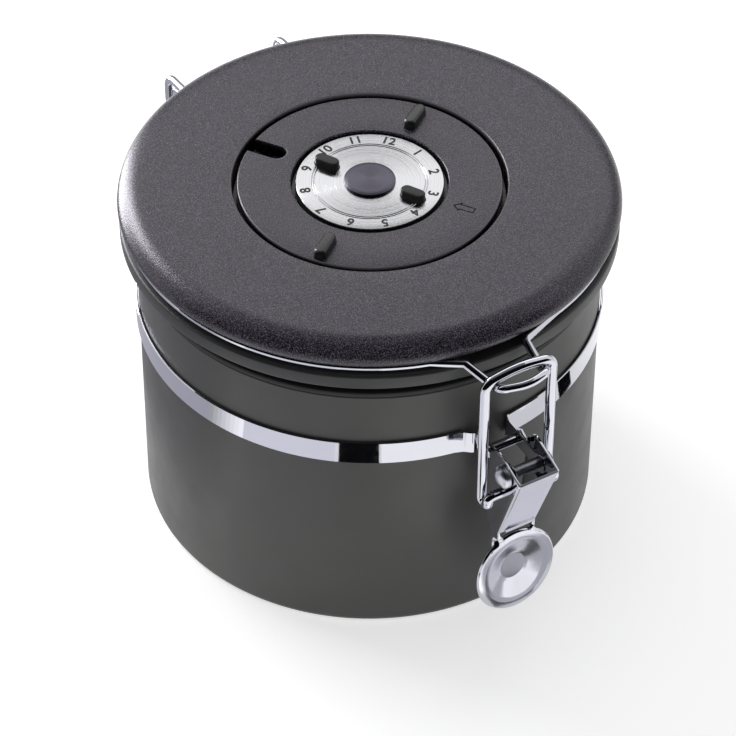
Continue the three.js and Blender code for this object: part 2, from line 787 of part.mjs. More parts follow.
// Bracket on the back of the strap, with two raised ears for the hinge ends
function makeHingeBracket() {
  const inner = strapInner + strapThick + fitGap;
  const endX = bracketEarX + bracketEarThick / 2;
  const startAngle = Math.PI / 2 - Math.asin((hingeShift + endX) / inner);
  const endAngle = Math.PI / 2 - Math.asin((hingeShift - endX) / inner);
  const arc = [];
  for (let i = 0; i <= bracketSteps; i += 1) {
    const angle = startAngle + ((endAngle - startAngle) * i) / bracketSteps;
    const radius = inner + bracketThick / 2;
    arc.push([radius * Math.cos(angle), radius * Math.sin(angle)]);
  }
  let bracket = toManifold(raised(stripOutline(arc, bracketThick), strapBottom, strapBottom + strapHeight));
  for (const side of [-1, 1]) {
    const earX = hingeShift + side * bracketEarX;
    const rootY = Math.sqrt(inner ** 2 - earX ** 2) + bracketThick * bracketRootShare;
    const ear = [
      [rootY, strapBottom],
      [rootY + bracketEarRound, strapBottom],
      [hingeReach + bracketEarRound, hingeHeight - bracketEarRound],
      ...ellipsePoints([hingeReach, hingeHeight], [bracketEarRound, bracketEarRound], 0, 180, 8),
      [rootY, strapBottom + strapHeight],
    ];
    const low = earX - bracketEarThick / 2;
    bracket = bracket.add(toManifold(sideways(ear, low, low + bracketEarThick)));
  }
  const ends = [hingeShift - endX - cutOver, hingeShift + endX + cutOver];
  const bore = xCylinder(lidWire / 2 + runGap, ...ends, hingeReach, hingeHeight, holeSegments);
  bracket = bracket.subtract(toManifold(bore));
  for (const side of [-1, 1]) {
    bracket = bracket.subtract(toManifold(backHole(side, bracketRivetRadius + runGap)));
  }
  addPart('hinge_bracket', toGeometry(bracket), chrome);
}

function backHole(side, radius) {
  const hole = zCylinder(radius, bodyRadius - cutOver, bodyRadius + 3 * cutOver, holeSegments);
  hole.rotateX(-Math.PI / 2);
  hole.translate(0, 0, strapMid);
  const turn = Math.asin((hingeShift + side * bracketRivetX) / strapLine);
  hole.rotateZ(-turn);
  return hole;
}

function makeBracketRivets() {
  const low = strapInner + strapThick + fitGap / 2;
  const top = strapInner + strapThick + fitGap + bracketThick + fitGap / 2;
  [-1, 1].forEach((side, i) => {
    const outline = [[0, low], [bracketRivetRadius, low], [bracketRivetRadius, top], [bracketRivetHead, top]];
    outline.push(...ellipsePoints([0, top], [bracketRivetHead, bracketRivetDome], 20, 70, 3));
    outline.push([0, top + bracketRivetDome]);
    const rivet = turned(outline, smallSegments);
    rivet.rotateX(-Math.PI / 2);
    rivet.translate(0, 0, strapMid);
    rivet.rotateZ(-Math.asin((hingeShift + side * bracketRivetX) / strapLine));
    addPart(`bracket_rivet_${i + 1}`, rivet, chrome);
  });
}

function makeLidBase() {
  const ledgeInner = plugInner - plugLedge;
  const outline = [
    [valveBarrel + fitGap, plugLow],
    [footRadius, plugLow],
    [footRadius, plugLow + footHeight],
    [plugRadius, plugLow + footHeight],
    [plugRadius, gasketLipTop + fitGap],
    [neckRadius, gasketLipTop + fitGap],
    [neckRadius, flangeLow],
    [flangeRadius, flangeLow],
    [flangeRadius, flangeTop],
    [rimOuter, flangeTop],
    [rimOuter, rimTop],
    [rimInner, rimTop],
    [rimInner, flangeTop],
    [plugInner, flangeTop],
    [plugInner, skirtLow - fitGap],
    [ledgeInner, skirtLow - fitGap],
    [ledgeInner, plugLow + plugFloor],
    [valveBarrel + fitGap, plugLow + plugFloor],
  ];
  addPart('lid_base', turned(outline, bigSegments), darkPlastic);
}

function makeGasket() {
  const inner = plugRadius + fitGap;
  const outline = [
    [inner, gasketTubeLow],
    [inner + gasketTube, gasketTubeLow],
    [inner + gasketTube, gasketLipLow],
    [gasketLipRadius, gasketLipLow],
    [gasketLipRadius, gasketLipTop],
    [inner, gasketLipTop],
  ];
  addPart('lid_gasket', turned(outline, bigSegments), rubber);
}

function makeCap() {
  const skirtInner = skirtOuter - skirtWall;
  const wellLow = wellFloorTop - wellFloor;
  const outline = [
    [hubRadius + runGap, wellLow],
    [wellRadius + wellWall, wellLow],
    [wellRadius + wellWall, capPlateLow],
    [skirtInner, capPlateLow],
    [skirtInner, skirtLow],
    [skirtOuter, skirtLow],
    [skirtOuter, capPlateLow],
    [capWallInner, capPlateLow - capPlate / 2],
    [capWallInner, capLow],
    [capLowRadius, capLow],
  ];
  const halves = [capRadius - capFlatRadius, capTop - capBulgeHeight];
  outline.push(...ellipsePoints([capFlatRadius, capBulgeHeight], halves, 0, 90, endSteps));
  outline.push([wellRadius + ringRim, capTop], [wellRadius, capTop - ringRim]);
  outline.push([wellRadius, wellFloorTop], [hubRadius + runGap, wellFloorTop]);
  addPart('lid_cap', turned(outline, bigSegments), capPlastic);
}

// Barrel that passes up through the lid base, with the seat inside it
function makeValveHousing() {
  const low = plugLow - fitGap - valveFlangeThick;
  const body = [
    [valveStemBore, valveSeatLow],
    [valveFilterBore, valveSeatLow],
    [valveFilterBore, low + valveLipThick],
    [valveLipBore, low + valveLipThick],
    [valveLipBore, low],
    [valveFlange, low],
    [valveFlange, low + valveFlangeThick],
    [valveBarrel, low + valveFlangeThick],
    [valveBarrel, valveTop],
    [valveSeatBore, valveTop],
    [valveSeatBore, valveSeatTop],
    [valveStemBore, valveSeatTop],
  ];
  let housing = toManifold(turned(body, midSegments));
  const reach = [valveSeatLow - cutOver, valveSeatTop + cutOver];
  for (const hole of boltCircle(valveHoles, valveHoleRing, valveHoleRadius, ...reach)) {
    housing = housing.subtract(toManifold(hole));
  }
  addPart('valve_housing', toGeometry(housing), blackPlastic);
}

function makeValveFilter() {
  const filterTop = valveSeatLow - fitGap;
  const filterLow = filterTop - filterThick;
  const filter = [
    [valveStemBore, filterLow],
    [valveFilterBore - fitGap, filterLow],
    [valveFilterBore - fitGap, filterTop],
    [valveStemBore, filterTop],
  ];
  addPart('valve_filter', turned(filter, discSegments), felt);
}

// Disc that lifts off the seat to let gas out, guided by its stem
function makeValveDisc() {
  const disc = [
    [0, discLow - valveStemLength],
    [valveStem, discLow - valveStemLength],
    [valveStem, discLow],
    [valveDiscRadius, discLow],
    [valveDiscRadius, discLow + valveDiscThick],
    [0, discLow + valveDiscThick],
  ];
  addPart('valve_disc', turned(disc, discSegments), clearRubber);
}

// Cover that closes the barrel and stops the disc's lift
function makeValveCover() {
  const stopLow = discLow + valveDiscThick + valveTravel + fitGap;
  const spigot = valveSeatBore - fitGap;
  const capLowZ = valveTop + fitGap;
  const cover = [
    [0, capLowZ],
    [spigot - valveSpigotWall, capLowZ],
    [spigot - valveSpigotWall, stopLow],
    [spigot, stopLow],
    [spigot, capLowZ],
    [valveCapRadius, capLowZ],
    [valveCapRadius, capLowZ + valveCapThick],
    [0, capLowZ + valveCapThick],
  ];
  let lid = toManifold(turned(cover, midSegments));
  const reach = [valveTop - cutOver, valveTop + 2 * cutOver];
  for (const hole of boltCircle(valveHoles, valveHoleRing, valveHoleRadius, ...reach)) {
    lid = lid.subtract(toManifold(hole));
  }
  addPart('valve_cover', toGeometry(lid), blackPlastic);
}

function makeScaleRing() {
  const low = wellFloorTop + runGap;
  const outer = ringOuter - ringSkirt - fitGap;
  const top = low + scaleThick;
  const outline = [[scaleInner, low], [outer, low], [outer, top], [scaleInner, top]];
  addPart('date_scale', turned(outline, midSegments), paper);
}

function makeDayRing() {
  const bore = hubRadius + runGap;
  const webTop = ringLow + ringWeb;
  const wallOuter = ringInner + ringSkirt;
  const skirtInner = ringOuter - ringSkirt;
  const outline = [
    [bore, ringLow],
    [wallOuter, ringLow],
    [wallOuter, ringTop - ringPlate],
    [skirtInner, ringTop - ringPlate],
    [skirtInner, ringLow],
    [ringOuter, ringLow],
    [ringOuter, ringTop - ringRim],
    [ringOuter - ringRim, ringTop],
    [ringInner + ringRim, ringTop],
    [ringInner, ringTop - ringRim],
    [ringInner, webTop],
    [bore, webTop],
  ];
  let ring = toManifold(turned(outline, bigSegments));
  ribReaches.forEach((reach, i) => {
    ring = ring.add(toManifold(dialBar(ribLength, ribWidth, ribHeight, reach, ribAngles[i], ringTop - ringRim)));
  });
  const slotLength = ringOuter - slotInner + slotWidth;
  const slotReach = slotInner + slotLength / 2;
  const slotSpan = [ringLow - cutOver, ringTop + cutOver];
  const cutter = slotCutter(slotLength, slotWidth, slotReach, slotAngle, ...slotSpan);
  ring = ring.subtract(toManifold(cutter));
  addPart('day_ring', toGeometry(ring), capPlastic);
}

function makeMonthDial() {
  const carrierOutline = [
    [screwRadius + runGap, hubLow],
    [hubRadius, hubLow],
    [hubRadius, monthLow],
    [monthRadius - runGap, monthLow],
    [monthRadius - runGap, monthTop],
    [0, monthTop],
    [0, hubLow + screwLength + fitGap],
    [screwRadius + runGap, hubLow + screwLength + fitGap],
  ];
  let carrier = toManifold(turned(carrierOutline, midSegments));
  let face = toManifold(zCylinder(monthRadius, faceLow, faceTop, bigSegments));
  for (const angle of [knobAngle, knobAngle + 180]) {
    const height = faceTop - monthTop + knobHeight;
    carrier = carrier.add(toManifold(dialBar(knobLength, knobWidth, height, knobReach, angle, monthTop)));
    const holeSize = [knobLength + 2 * runGap, knobWidth + 2 * runGap];
    const hole = slotCutter(...holeSize, knobReach, angle, faceLow - cutOver, faceTop + cutOver);
    face = face.subtract(toManifold(hole));
  }
  addPart('month_carrier', toGeometry(carrier), darkPlastic);
  addPart('month_face', toGeometry(face), brushed);
  const badgeLow = faceTop + runGap;
  addPart('dial_badge', zCylinder(badgeRadius, badgeLow, badgeLow + badgeThick, midSegments), darkPlastic);
}

// Screw and washer that hold both dials down through the well floor
function makeDialScrew() {
  const washerTop = hubLow - runGap;
  const washer = [
    [screwRadius + runGap, washerTop - washerThick],
    [washerRadius, washerTop - washerThick],
    [washerRadius, washerTop],
    [screwRadius + runGap, washerTop],
  ];
  addPart('dial_washer', turned(washer, discSegments), brushed);
  const headTop = washerTop - washerThick - runGap;
  const screw = [
    [0, headTop - screwHeadThick],
    [screwHeadRadius * screwEaseShares[0], headTop - screwHeadThick],
    [screwHeadRadius, headTop - screwHeadThick * screwEaseShares[1]],
    [screwHeadRadius, headTop],
    [screwRadius, headTop],
    [screwRadius, hubLow + screwLength],
    [0, hubLow + screwLength],
  ];
  addPart('dial_screw', turned(screw, smallSegments), brushed);
}

makeShell();
makeStrap();
makeTieScrew();
makeRivet();
makeHingeBracket();
makeBracketRivets();
makeLever();
makeBail();
makeLidWire();
makeLidBase();
makeGasket();
makeCap();
makeValveHousing();
makeValveFilter();
makeValveDisc();
makeValveCover();
makeScaleRing();
makeDayRing();
makeMonthDial();
makeDialScrew();

export default canister;
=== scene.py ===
import math

import bmesh
import bpy
from mathutils import Matrix, Vector


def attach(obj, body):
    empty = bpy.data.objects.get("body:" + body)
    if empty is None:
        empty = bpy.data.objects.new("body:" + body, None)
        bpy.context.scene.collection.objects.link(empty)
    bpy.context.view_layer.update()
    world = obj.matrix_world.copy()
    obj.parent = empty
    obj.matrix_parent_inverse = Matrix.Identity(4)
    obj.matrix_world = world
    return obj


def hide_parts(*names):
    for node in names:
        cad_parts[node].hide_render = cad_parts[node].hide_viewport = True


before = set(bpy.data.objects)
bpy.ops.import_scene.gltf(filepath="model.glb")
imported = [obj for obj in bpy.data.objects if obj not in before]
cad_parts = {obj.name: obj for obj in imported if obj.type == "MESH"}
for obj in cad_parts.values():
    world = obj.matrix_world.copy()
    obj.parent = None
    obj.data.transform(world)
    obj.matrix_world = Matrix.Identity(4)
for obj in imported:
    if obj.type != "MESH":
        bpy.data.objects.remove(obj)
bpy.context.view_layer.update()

MM = 0.001

# Camera, in millimetres and degrees
CAMERA_LENS = 172.9
CAMERA_DISTANCE = 972.6
CAMERA_AZIMUTH = -30.7
CAMERA_ELEVATION = 42.85
CAMERA_ROLL = 0.28
CAMERA_AIM_HEIGHT = 36.07
CAMERA_SHIFT = -0.0012

# Shell and strap, in millimetres
SHELL_RADIUS = 62.0
SHELL_HEIGHT = 83.1
SHELL_WALL = 0.8
SHELL_FLOOR = 0.9
SHELL_FOOT = 2.6
STRAP_LOW = 60.8
STRAP_HIGH = 67.9
STRAP_MIDDLE = 64.35
STRAP_THICK = 0.6
STRAP_LINE = 62.6
EAR_LEFT = -4.4
EAR_RIGHT = 4.0
EAR_HALF = 2.3
EAR_TIP = 2.9
EAR_ROOT = 62.9
EAR_BLEND = 1.6
STRAP_CREASE = 10.9
TIE_REACH = -68.3
TIE_GAP = 0.4

# Hinge bracket
BRACKET_HALF = 13.1
BRACKET_EAR = 14.0
BRACKET_RIVET = 7.5

# Clamp
PIVOT_Y = -78.7
EYE_Y = -77.5
EYE_Z = 57.5
BAIL_Y = -74.2
BAIL_TOP = 94.6
BAIL_BOW = 1.6
BAIL_WIRE = 1.35
BAIL_HALF = 10.0
BAIL_SHIFT = -0.3
LEVER_HALF = 5.7
LEVER_WALL = 0.7
LEVER_LEAN = 0.8
PAD_DROP = 39.3
PAD_HALF_WIDE = 11.9
PAD_HALF_TALL = 13.5

# Lid
WIRE_RADIUS = 1.15
WIRE_HEIGHT = 95.75
WIRE_RING = 64.0
HINGE_Y = 76.2
HINGE_Z = 84.0
HINGE_HALF = 17.1
HINGE_SHIFT = -2.4

# Dials: places are (distance from the middle, angle)
RING_OUTER = 34.9
RING_TOP = 103.1
FACE_LOW = 102.3
FACE_TOP = 103.0
FACE_CIRCLES = (15.25, 14.65)
SLOT_START = 24.6
SLOT_WIDTH = 5.3
SLOT_ANGLE = 124.3
RIBS = ((28.2, 34.3), (29.7, 216.7))
POINTER = (26.9, 305.4)
KNOB_REACH = 13.0
KNOB_ANGLE = 119.3
TWELVE_ANGLE = 42.6
MONTHS = 12
DAYS = 31

# Light
WORLD_LIGHT = 0.3
FLOOR_GLOW = 0.58


# Outlines and routes

def eased(corners, closed=True, steps=5):
    """Points of an outline given as (across, up, rounding) or (x, y, z, rounding) corners."""
    points = []
    count = len(corners)
    for i, corner in enumerate(corners):
        here = Vector(corner[:-1])
        rounding = corner[-1]
        if rounding == 0 or (not closed and i in (0, count - 1)):
            points.append(here)
            continue
        back = Vector(corners[i - 1][:-1]) - here
        ahead = Vector(corners[(i + 1) % count][:-1]) - here
        half = back.angle(ahead) / 2
        reach = min(rounding / math.tan(half), 0.49 * back.length, 0.49 * ahead.length)
        start = here + back.normalized() * reach
        end = here + ahead.normalized() * reach
        centre = here + (back.normalized() + ahead.normalized()).normalized() * (reach / math.cos(half))
        first, last = start - centre, end - centre
        sweep = first.angle(last)
        for k in range(steps + 1):
            part = sweep * k / steps
            from_first = math.sin(sweep - part) / math.sin(sweep)
            from_last = math.sin(part) / math.sin(sweep)
            points.append(centre + first * from_first + last * from_last)
    return points


def ellipse(centre, halves, start, end, count):
    """Points of an ellipse between two angles in degrees."""
    angles = [math.radians(start + (end - start) * i / count) for i in range(count + 1)]
    return [(centre[0] + halves[0] * math.cos(a), centre[1] + halves[1] * math.sin(a)) for a in angles]


def spread(points, count):
    """A polyline's points set at even distances."""
    points = [Vector(p) for p in points]
    lengths = [0.0]
    for a, b in zip(points, points[1:]):
        lengths.append(lengths[-1] + (b - a).length)
    result = []
    place = 0
    for i in range(count + 1):
        target = lengths[-1] * i / count
        while place < len(points) - 2 and lengths[place + 1] < target:
            place += 1
        span = lengths[place + 1] - lengths[place]
        result.append(points[place].lerp(points[place + 1], (target - lengths[place]) / span if span else 0))
    return result


# Meshes

def linked(name, data):
    """A new object in the scene."""
    made = bpy.data.objects.new(name, data)
    bpy.context.scene.collection.objects.link(made)
    return made


def loose(mesh):
    """A bmesh with a mesh's faces."""
    bm = bmesh.new()
    bm.from_mesh(mesh)
    return bm


def finished(name, bm, material, smooth_angle=32):
    """Closes a bmesh into a smooth-shaded object at the origin."""
    bmesh.ops.remove_doubles(bm, verts=bm.verts, dist=1e-7)
    bmesh.ops.recalc_face_normals(bm, faces=bm.faces)
    mesh = bpy.data.meshes.new(name)
    bm.to_mesh(mesh)
    bm.free()
    return smoothed(name, mesh, material, smooth_angle)


def smoothed(name, mesh, material, smooth_angle=32):
    """An object of a mesh, smooth except along edges sharper than an angle in degrees."""
    mesh.polygons.foreach_set("use_smooth", [True] * len(mesh.polygons))
    mesh.set_sharp_from_angle(angle=math.radians(smooth_angle))
    if not mesh.materials:
        mesh.materials.append(material)
    return linked(name, mesh)


def turned_bmesh(outline, segments=160):
    """A solid turned about Z from (radius, height) points."""
    bm = bmesh.new()
    rings = []
    for radius, height in outline:
        if radius < 1e-6:
            rings.append([bm.verts.new((0, 0, height * MM))])
            continue
        angles = [2 * math.pi * k / segments for k in range(segments)]
        ring = [(radius * MM * math.cos(a), radius * MM * math.sin(a), height * MM) for a in angles]
        rings.append([bm.verts.new(point) for point in ring])
    for a, b in zip(rings, rings[1:] + rings[:1]):
        if len(a) == 1 and len(b) == 1:
            continue
        for k in range(segments):
            corners = [a[k % len(a)], a[(k + 1) % len(a)], b[(k + 1) % len(b)], b[k % len(b)]]
            bm.faces.new(list(dict.fromkeys(corners)))
    return bm


def eased_bmesh(corners, segments, steps=5):
    """A turned solid from (radius, height, rounding) corners."""
    return turned_bmesh(eased(corners, steps=steps), segments)


def turned(name, corners, material, segments=160, steps=5):
    """A turned piece from (radius, height, rounding) corners."""
    return finished(name, eased_bmesh(corners, segments, steps), material)


def swept_bmesh(sections):
    """A tube through equal rings of points, closed at both ends."""
    bm = bmesh.new()
    rings = [[bm.verts.new(Vector(p) * MM) for p in section] for section in sections]
    count = len(rings[0])
    for a, b in zip(rings, rings[1:]):
        for k in range(count):
            bm.faces.new((a[k], a[(k + 1) % count], b[(k + 1) % count], b[k]))
    bm.faces.new(rings[0])
    bm.faces.new(rings[-1])
    return bm


def raised_bmesh(outline, low, high, ease=0.0, steps=3):
    """An (x, y) outline raised along Z with its top and bottom edges eased."""
    layers = [(low, ease)] if ease else []
    for k in range(steps + 1 if ease else 1):
        turn = math.pi / 2 * k / steps
        layers.append((low + ease * (1 - math.cos(turn)), ease * (1 - math.sin(turn))))
    for k in range(steps + 1 if ease else 1):
        turn = math.pi / 2 * k / steps
        layers.append((high - ease * (1 - math.sin(turn)), ease * (1 - math.cos(turn))))
    points = [Vector(p) for p in outline]
    count = len(points)
    normals = []
    for i in range(count):
        run = (points[(i + 1) % count] - points[i - 1]).normalized()
        normals.append(Vector((run.y, -run.x)))
    area = sum(points[i - 1].cross(points[i]) for i in range(count))
    inward = -1 if area > 0 else 1
    rings = []
    for height, inset in layers:
        rings.append([(*(p + n * inset * inward), height) for p, n in zip(points, normals)])
    return swept_bmesh(rings)


def ribbon_sections(line, lows, highs, thick, ease=0.18):
    """Rings of a flat strip on edge that follows an (x, y) line."""
    half = thick / 2
    corner = [(-half, 0, ease), (-half + ease, 0, 0), (half - ease, 0, 0), (half, 0, ease)]
    corner += [(half, 1, ease), (half - ease, 1, 0), (-half + ease, 1, 0), (-half, 1, ease)]
    sections = []
    for i, (point, low, high) in enumerate(zip(line, lows, highs)):
        run = (line[min(i + 1, len(line) - 1)] - line[max(i - 1, 0)]).normalized()
        across = Vector((run.y, -run.x))
        ring = []
        for side, top, inward in corner:
            place = point + across * side
            ring.append((place.x, place.y, high - inward if top else low + inward))
        sections.append(ring)
    return sections


def moved(bm, matrix):
    """The same bmesh at another place."""
    bmesh.ops.transform(bm, matrix=matrix, verts=bm.verts)
    return bm


def joined(*parts):
    """Several bmeshes in one."""
    whole = bmesh.new()
    for part in parts:
        mesh = bpy.data.meshes.new("part")
        bmesh.ops.recalc_face_normals(part, faces=part.faces)
        part.to_mesh(mesh)
        part.free()
        whole.from_mesh(mesh)
        bpy.data.meshes.remove(mesh)
    return whole


def plain(mesh_or_bm, name="blank"):
    """A temporary object for a modifier to work on."""
    if isinstance(mesh_or_bm, bmesh.types.BMesh):
        bmesh.ops.recalc_face_normals(mesh_or_bm, faces=mesh_or_bm.faces)
        mesh = bpy.data.meshes.new(name)
        mesh_or_bm.to_mesh(mesh)
        mesh_or_bm.free()
    else:
        mesh = mesh_or_bm
    return linked(name, mesh)


def settled(blank):
    """The mesh that an object's modifiers make; the object itself goes."""
    bpy.context.view_layer.update()
    mesh = bpy.data.meshes.new_from_object(blank.evaluated_get(bpy.context.evaluated_depsgraph_get()))
    bpy.data.objects.remove(blank)
    return mesh


def round_edges(blank, width, angle):
    """Eases the edges of a temporary object that are sharper than an angle in degrees."""
    change = blank.modifiers.new("round_edges", "BEVEL")
    change.width = width * MM
    change.segments = 2
    change.limit_method = "ANGLE"
    change.angle_limit = math.radians(angle)


def cut(bm, cutters):
    """A bmesh with other bmeshes cut out of it, as a mesh."""
    blank = plain(bm)
    tools = [plain(cutter, "cutter") for cutter in cutters]
    for tool in tools:
        change = blank.modifiers.new("cut", "BOOLEAN")
        change.operation = "DIFFERENCE"
        change.solver = "EXACT"
        change.object = tool
    mesh = settled(blank)
    for tool in tools:
        bpy.data.objects.remove(tool)
    return mesh


def at_angle(reach, degrees):
    """A place at a distance from the Z axis, turned with its angle."""
    return Matrix.Rotation(math.radians(degrees), 4, "Z") @ Matrix.Translation((reach * MM, 0, 0))


def piece_of(obj, body, slot_name, *nodes):
    """Puts a piece on its body in place of its CAD nodes."""
    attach(obj, body)
    if nodes:
        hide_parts(*nodes)
    return obj


# Geometry Nodes

class Growth:
    """A geometry node tree with named inputs that ends in Realize Instances and Set Material."""

    def __init__(self, name, inputs):
        self.tree = bpy.data.node_groups.new(name, "GeometryNodeTree")
        face = self.tree.interface
        face.new_socket("Geometry", in_out="INPUT", socket_type="NodeSocketGeometry")
        for label, kind in inputs.items():
            face.new_socket(label, in_out="INPUT", socket_type=f"NodeSocket{kind}")
        face.new_socket("Material", in_out="INPUT", socket_type="NodeSocketMaterial")
        face.new_socket("Geometry", in_out="OUTPUT", socket_type="NodeSocketGeometry")
        self.entry = self.tree.nodes.new("NodeGroupInput").outputs

    def make(self, kind, settings=None, **values):
        """Adds a node; the values are named after its sockets, with spaces left out."""
        node = self.tree.nodes.new(kind)
        for key, value in (settings or {}).items():
            setattr(node, key, value)
        for key, value in values.items():
            sockets = [s for s in node.inputs if s.name.replace(" ", "").replace("-", "") == key and s.enabled]
            for item in value if isinstance(value, list) else [value]:
                if isinstance(item, bpy.types.NodeSocket):
                    self.tree.links.new(item, sockets[0])
                else:
                    sockets[0].default_value = item
                if len(sockets) > 1:
                    sockets.pop(0)
        return node.outputs

    def close(self, geometry):
        real = self.make("GeometryNodeRealizeInstances", Geometry=geometry)[0]
        painted = self.make("GeometryNodeSetMaterial", Geometry=real, Material=self.entry["Material"])[0]
        self.tree.links.new(painted, self.tree.nodes.new("NodeGroupOutput").inputs[0])

    def grow(self, mesh, values, material):
        blank = plain(mesh)
        change = blank.modifiers.new("growth", "NODES")
        change.node_group = self.tree
        for item in self.tree.interface.items_tree:
            if item.in_out == "INPUT" and item.name in values:
                change[item.identifier] = values[item.name]
            if item.in_out == "INPUT" and item.name == "Material":
                change[item.identifier] = material
        return settled(blank)


def wire_growth():
    """A round wire along a line of edges."""
    growth = Growth("round_wire", {"Wire Radius": "Float", "Wire Sides": "Int"})
    line = growth.make("GeometryNodeMeshToCurve", Mesh=growth.entry["Geometry"])[0]
    sizes = {"Resolution": growth.entry["Wire Sides"], "Radius": growth.entry["Wire Radius"]}
    ring = growth.make("GeometryNodeCurvePrimitiveCircle", **sizes)[0]
    growth.close(growth.make("GeometryNodeCurveToMesh", Curve=line, ProfileCurve=ring, FillCaps=True)[0])
    return growth


def turns_growth():
    """A piece repeated evenly about Z."""
    growth = Growth("even_turns", {"Copies": "Int"})
    line = growth.make("GeometryNodeMeshLine", Count=growth.entry["Copies"], Offset=(0, 0, 0))[0]
    index = growth.make("GeometryNodeInputIndex")[0]
    share = growth.make("ShaderNodeMath", {"operation": "DIVIDE"}, Value=[index, growth.entry["Copies"]])[0]
    turn = growth.make("ShaderNodeMath", {"operation": "MULTIPLY"}, Value=[share, 2 * math.pi])[0]
    turns = growth.make("ShaderNodeCombineXYZ", Z=turn)[0]
    placed = {"Points": line, "Instance": growth.entry["Geometry"], "Rotation": turns}
    growth.close(growth.make("GeometryNodeInstanceOnPoints", **placed)[0])
    return growth


def holes_growth():
    """A ring of round holes through a piece, along Z."""
    sizes = ("Ring Radius", "Hole Radius", "Hole Middle", "Hole Depth")
    growth = Growth("ring_of_holes", {"Holes": "Int", **{size: "Float" for size in sizes}})
    ring = growth.make("GeometryNodeMeshCircle", Vertices=growth.entry["Holes"], Radius=growth.entry["Ring Radius"])[0]
    bore = {"Vertices": 32, "Radius": growth.entry["Hole Radius"], "Depth": growth.entry["Hole Depth"]}
    pin = growth.make("GeometryNodeMeshCylinder", **bore)[0]
    place = growth.make("ShaderNodeCombineXYZ", Z=growth.entry["Hole Middle"])[0]
    lifted = growth.make("GeometryNodeTransform", Geometry=ring, Translation=place)[0]
    pins = growth.make("GeometryNodeInstanceOnPoints", Points=lifted, Instance=pin)[0]
    pins = growth.make("GeometryNodeRealizeInstances", Geometry=pins)[0]
    settings = {"operation": "DIFFERENCE", "solver": "EXACT"}
    solids = {"Mesh1": growth.entry["Geometry"], "Mesh2": pins}
    growth.close(growth.make("GeometryNodeMeshBoolean", settings, **solids)[0])
    return growth


def words_growth(name, words, first, step):
    """Words set round a ring, tops outwards, raised a little; angles in degrees."""
    sizes = ("Letter Size", "Stroke", "Ring Radius", "Raise", "Height")
    growth = Growth(name, {size: "Float" for size in sizes})
    placed = []
    reach = growth.make("ShaderNodeCombineXYZ", Y=growth.entry["Ring Radius"], Z=growth.entry["Height"])[0]
    for i, word in enumerate(words):
        settings = {"align_x": "CENTER", "align_y": "MIDDLE"}
        text = growth.make("GeometryNodeStringToCurves", settings, String=word, Size=growth.entry["Letter Size"])[0]
        text = growth.make("GeometryNodeRealizeInstances", Geometry=text)[0]
        text = growth.make("GeometryNodeResampleCurve", Curve=text, Count=90)[0]
        tangent = growth.make("GeometryNodeInputTangent")[0]
        side = growth.make("ShaderNodeVectorMath", {"operation": "CROSS_PRODUCT"}, Vector=[tangent, (0, 0, 1)])[0]
        push = growth.make("ShaderNodeVectorMath", {"operation": "SCALE"}, Vector=side, Scale=growth.entry["Stroke"])[0]
        text = growth.make("GeometryNodeSetPosition", Geometry=text, Offset=push)[0]
        flat = growth.make("GeometryNodeFillCurve", {"mode": "TRIANGLES"}, Curve=text)[0]
        thick = growth.make("GeometryNodeExtrudeMesh", Mesh=flat, OffsetScale=growth.entry["Raise"], Individual=False)[0]
        out = growth.make("GeometryNodeTransform", Geometry=thick, Translation=reach)[0]
        turn = (0, 0, math.radians(first + step * i - 90))
        placed.append(growth.make("GeometryNodeTransform", Geometry=out, Rotation=turn)[0])
    growth.close(growth.make("GeometryNodeJoinGeometry", Geometry=placed)[0])
    return growth


ROUND_WIRE = wire_growth()
EVEN_TURNS = turns_growth()
RING_OF_HOLES = holes_growth()


def wire(name, route, radius, material, sides=24):
    """A piece of round wire along a route."""
    mesh = bpy.data.meshes.new(name)
    mesh.from_pydata([Vector(p) * MM for p in route], [(i, i + 1) for i in range(len(route) - 1)], [])
    made = ROUND_WIRE.grow(mesh, {"Wire Radius": radius * MM, "Wire Sides": sides}, material)
    bm = loose(made)
    bmesh.ops.recalc_face_normals(bm, faces=bm.faces)
    bm.to_mesh(made)
    bm.free()
    return smoothed(name, made, material, 40)


# Finishes

def cleared_tree(holder):
    """The emptied node tree of a material or a world."""
    holder.use_nodes = True
    holder.node_tree.nodes.clear()
    return holder.node_tree


class Signal:
    """A shader value whose operators add Math nodes."""

    def __init__(self, shade, socket):
        self.shade = shade
        self.socket = socket

    def maths(self, operation, first, second=None):
        values = {0: first} if second is None else {0: first, 1: second}
        return self.shade.make("ShaderNodeMath", {"operation": operation}, values)

    def __add__(self, other):
        return self.maths("ADD", self, other)

    def __radd__(self, other):
        return self.maths("ADD", other, self)

    def __sub__(self, other):
        return self.maths("SUBTRACT", self, other)

    def __rsub__(self, other):
        return self.maths("SUBTRACT", other, self)

    def __mul__(self, other):
        return self.maths("MULTIPLY", self, other)

    def __rmul__(self, other):
        return self.maths("MULTIPLY", other, self)

    def __truediv__(self, other):
        return self.maths("DIVIDE", self, other)

    def __gt__(self, other):
        return self.maths("GREATER_THAN", self, other)

    def __lt__(self, other):
        return self.maths("LESS_THAN", self, other)


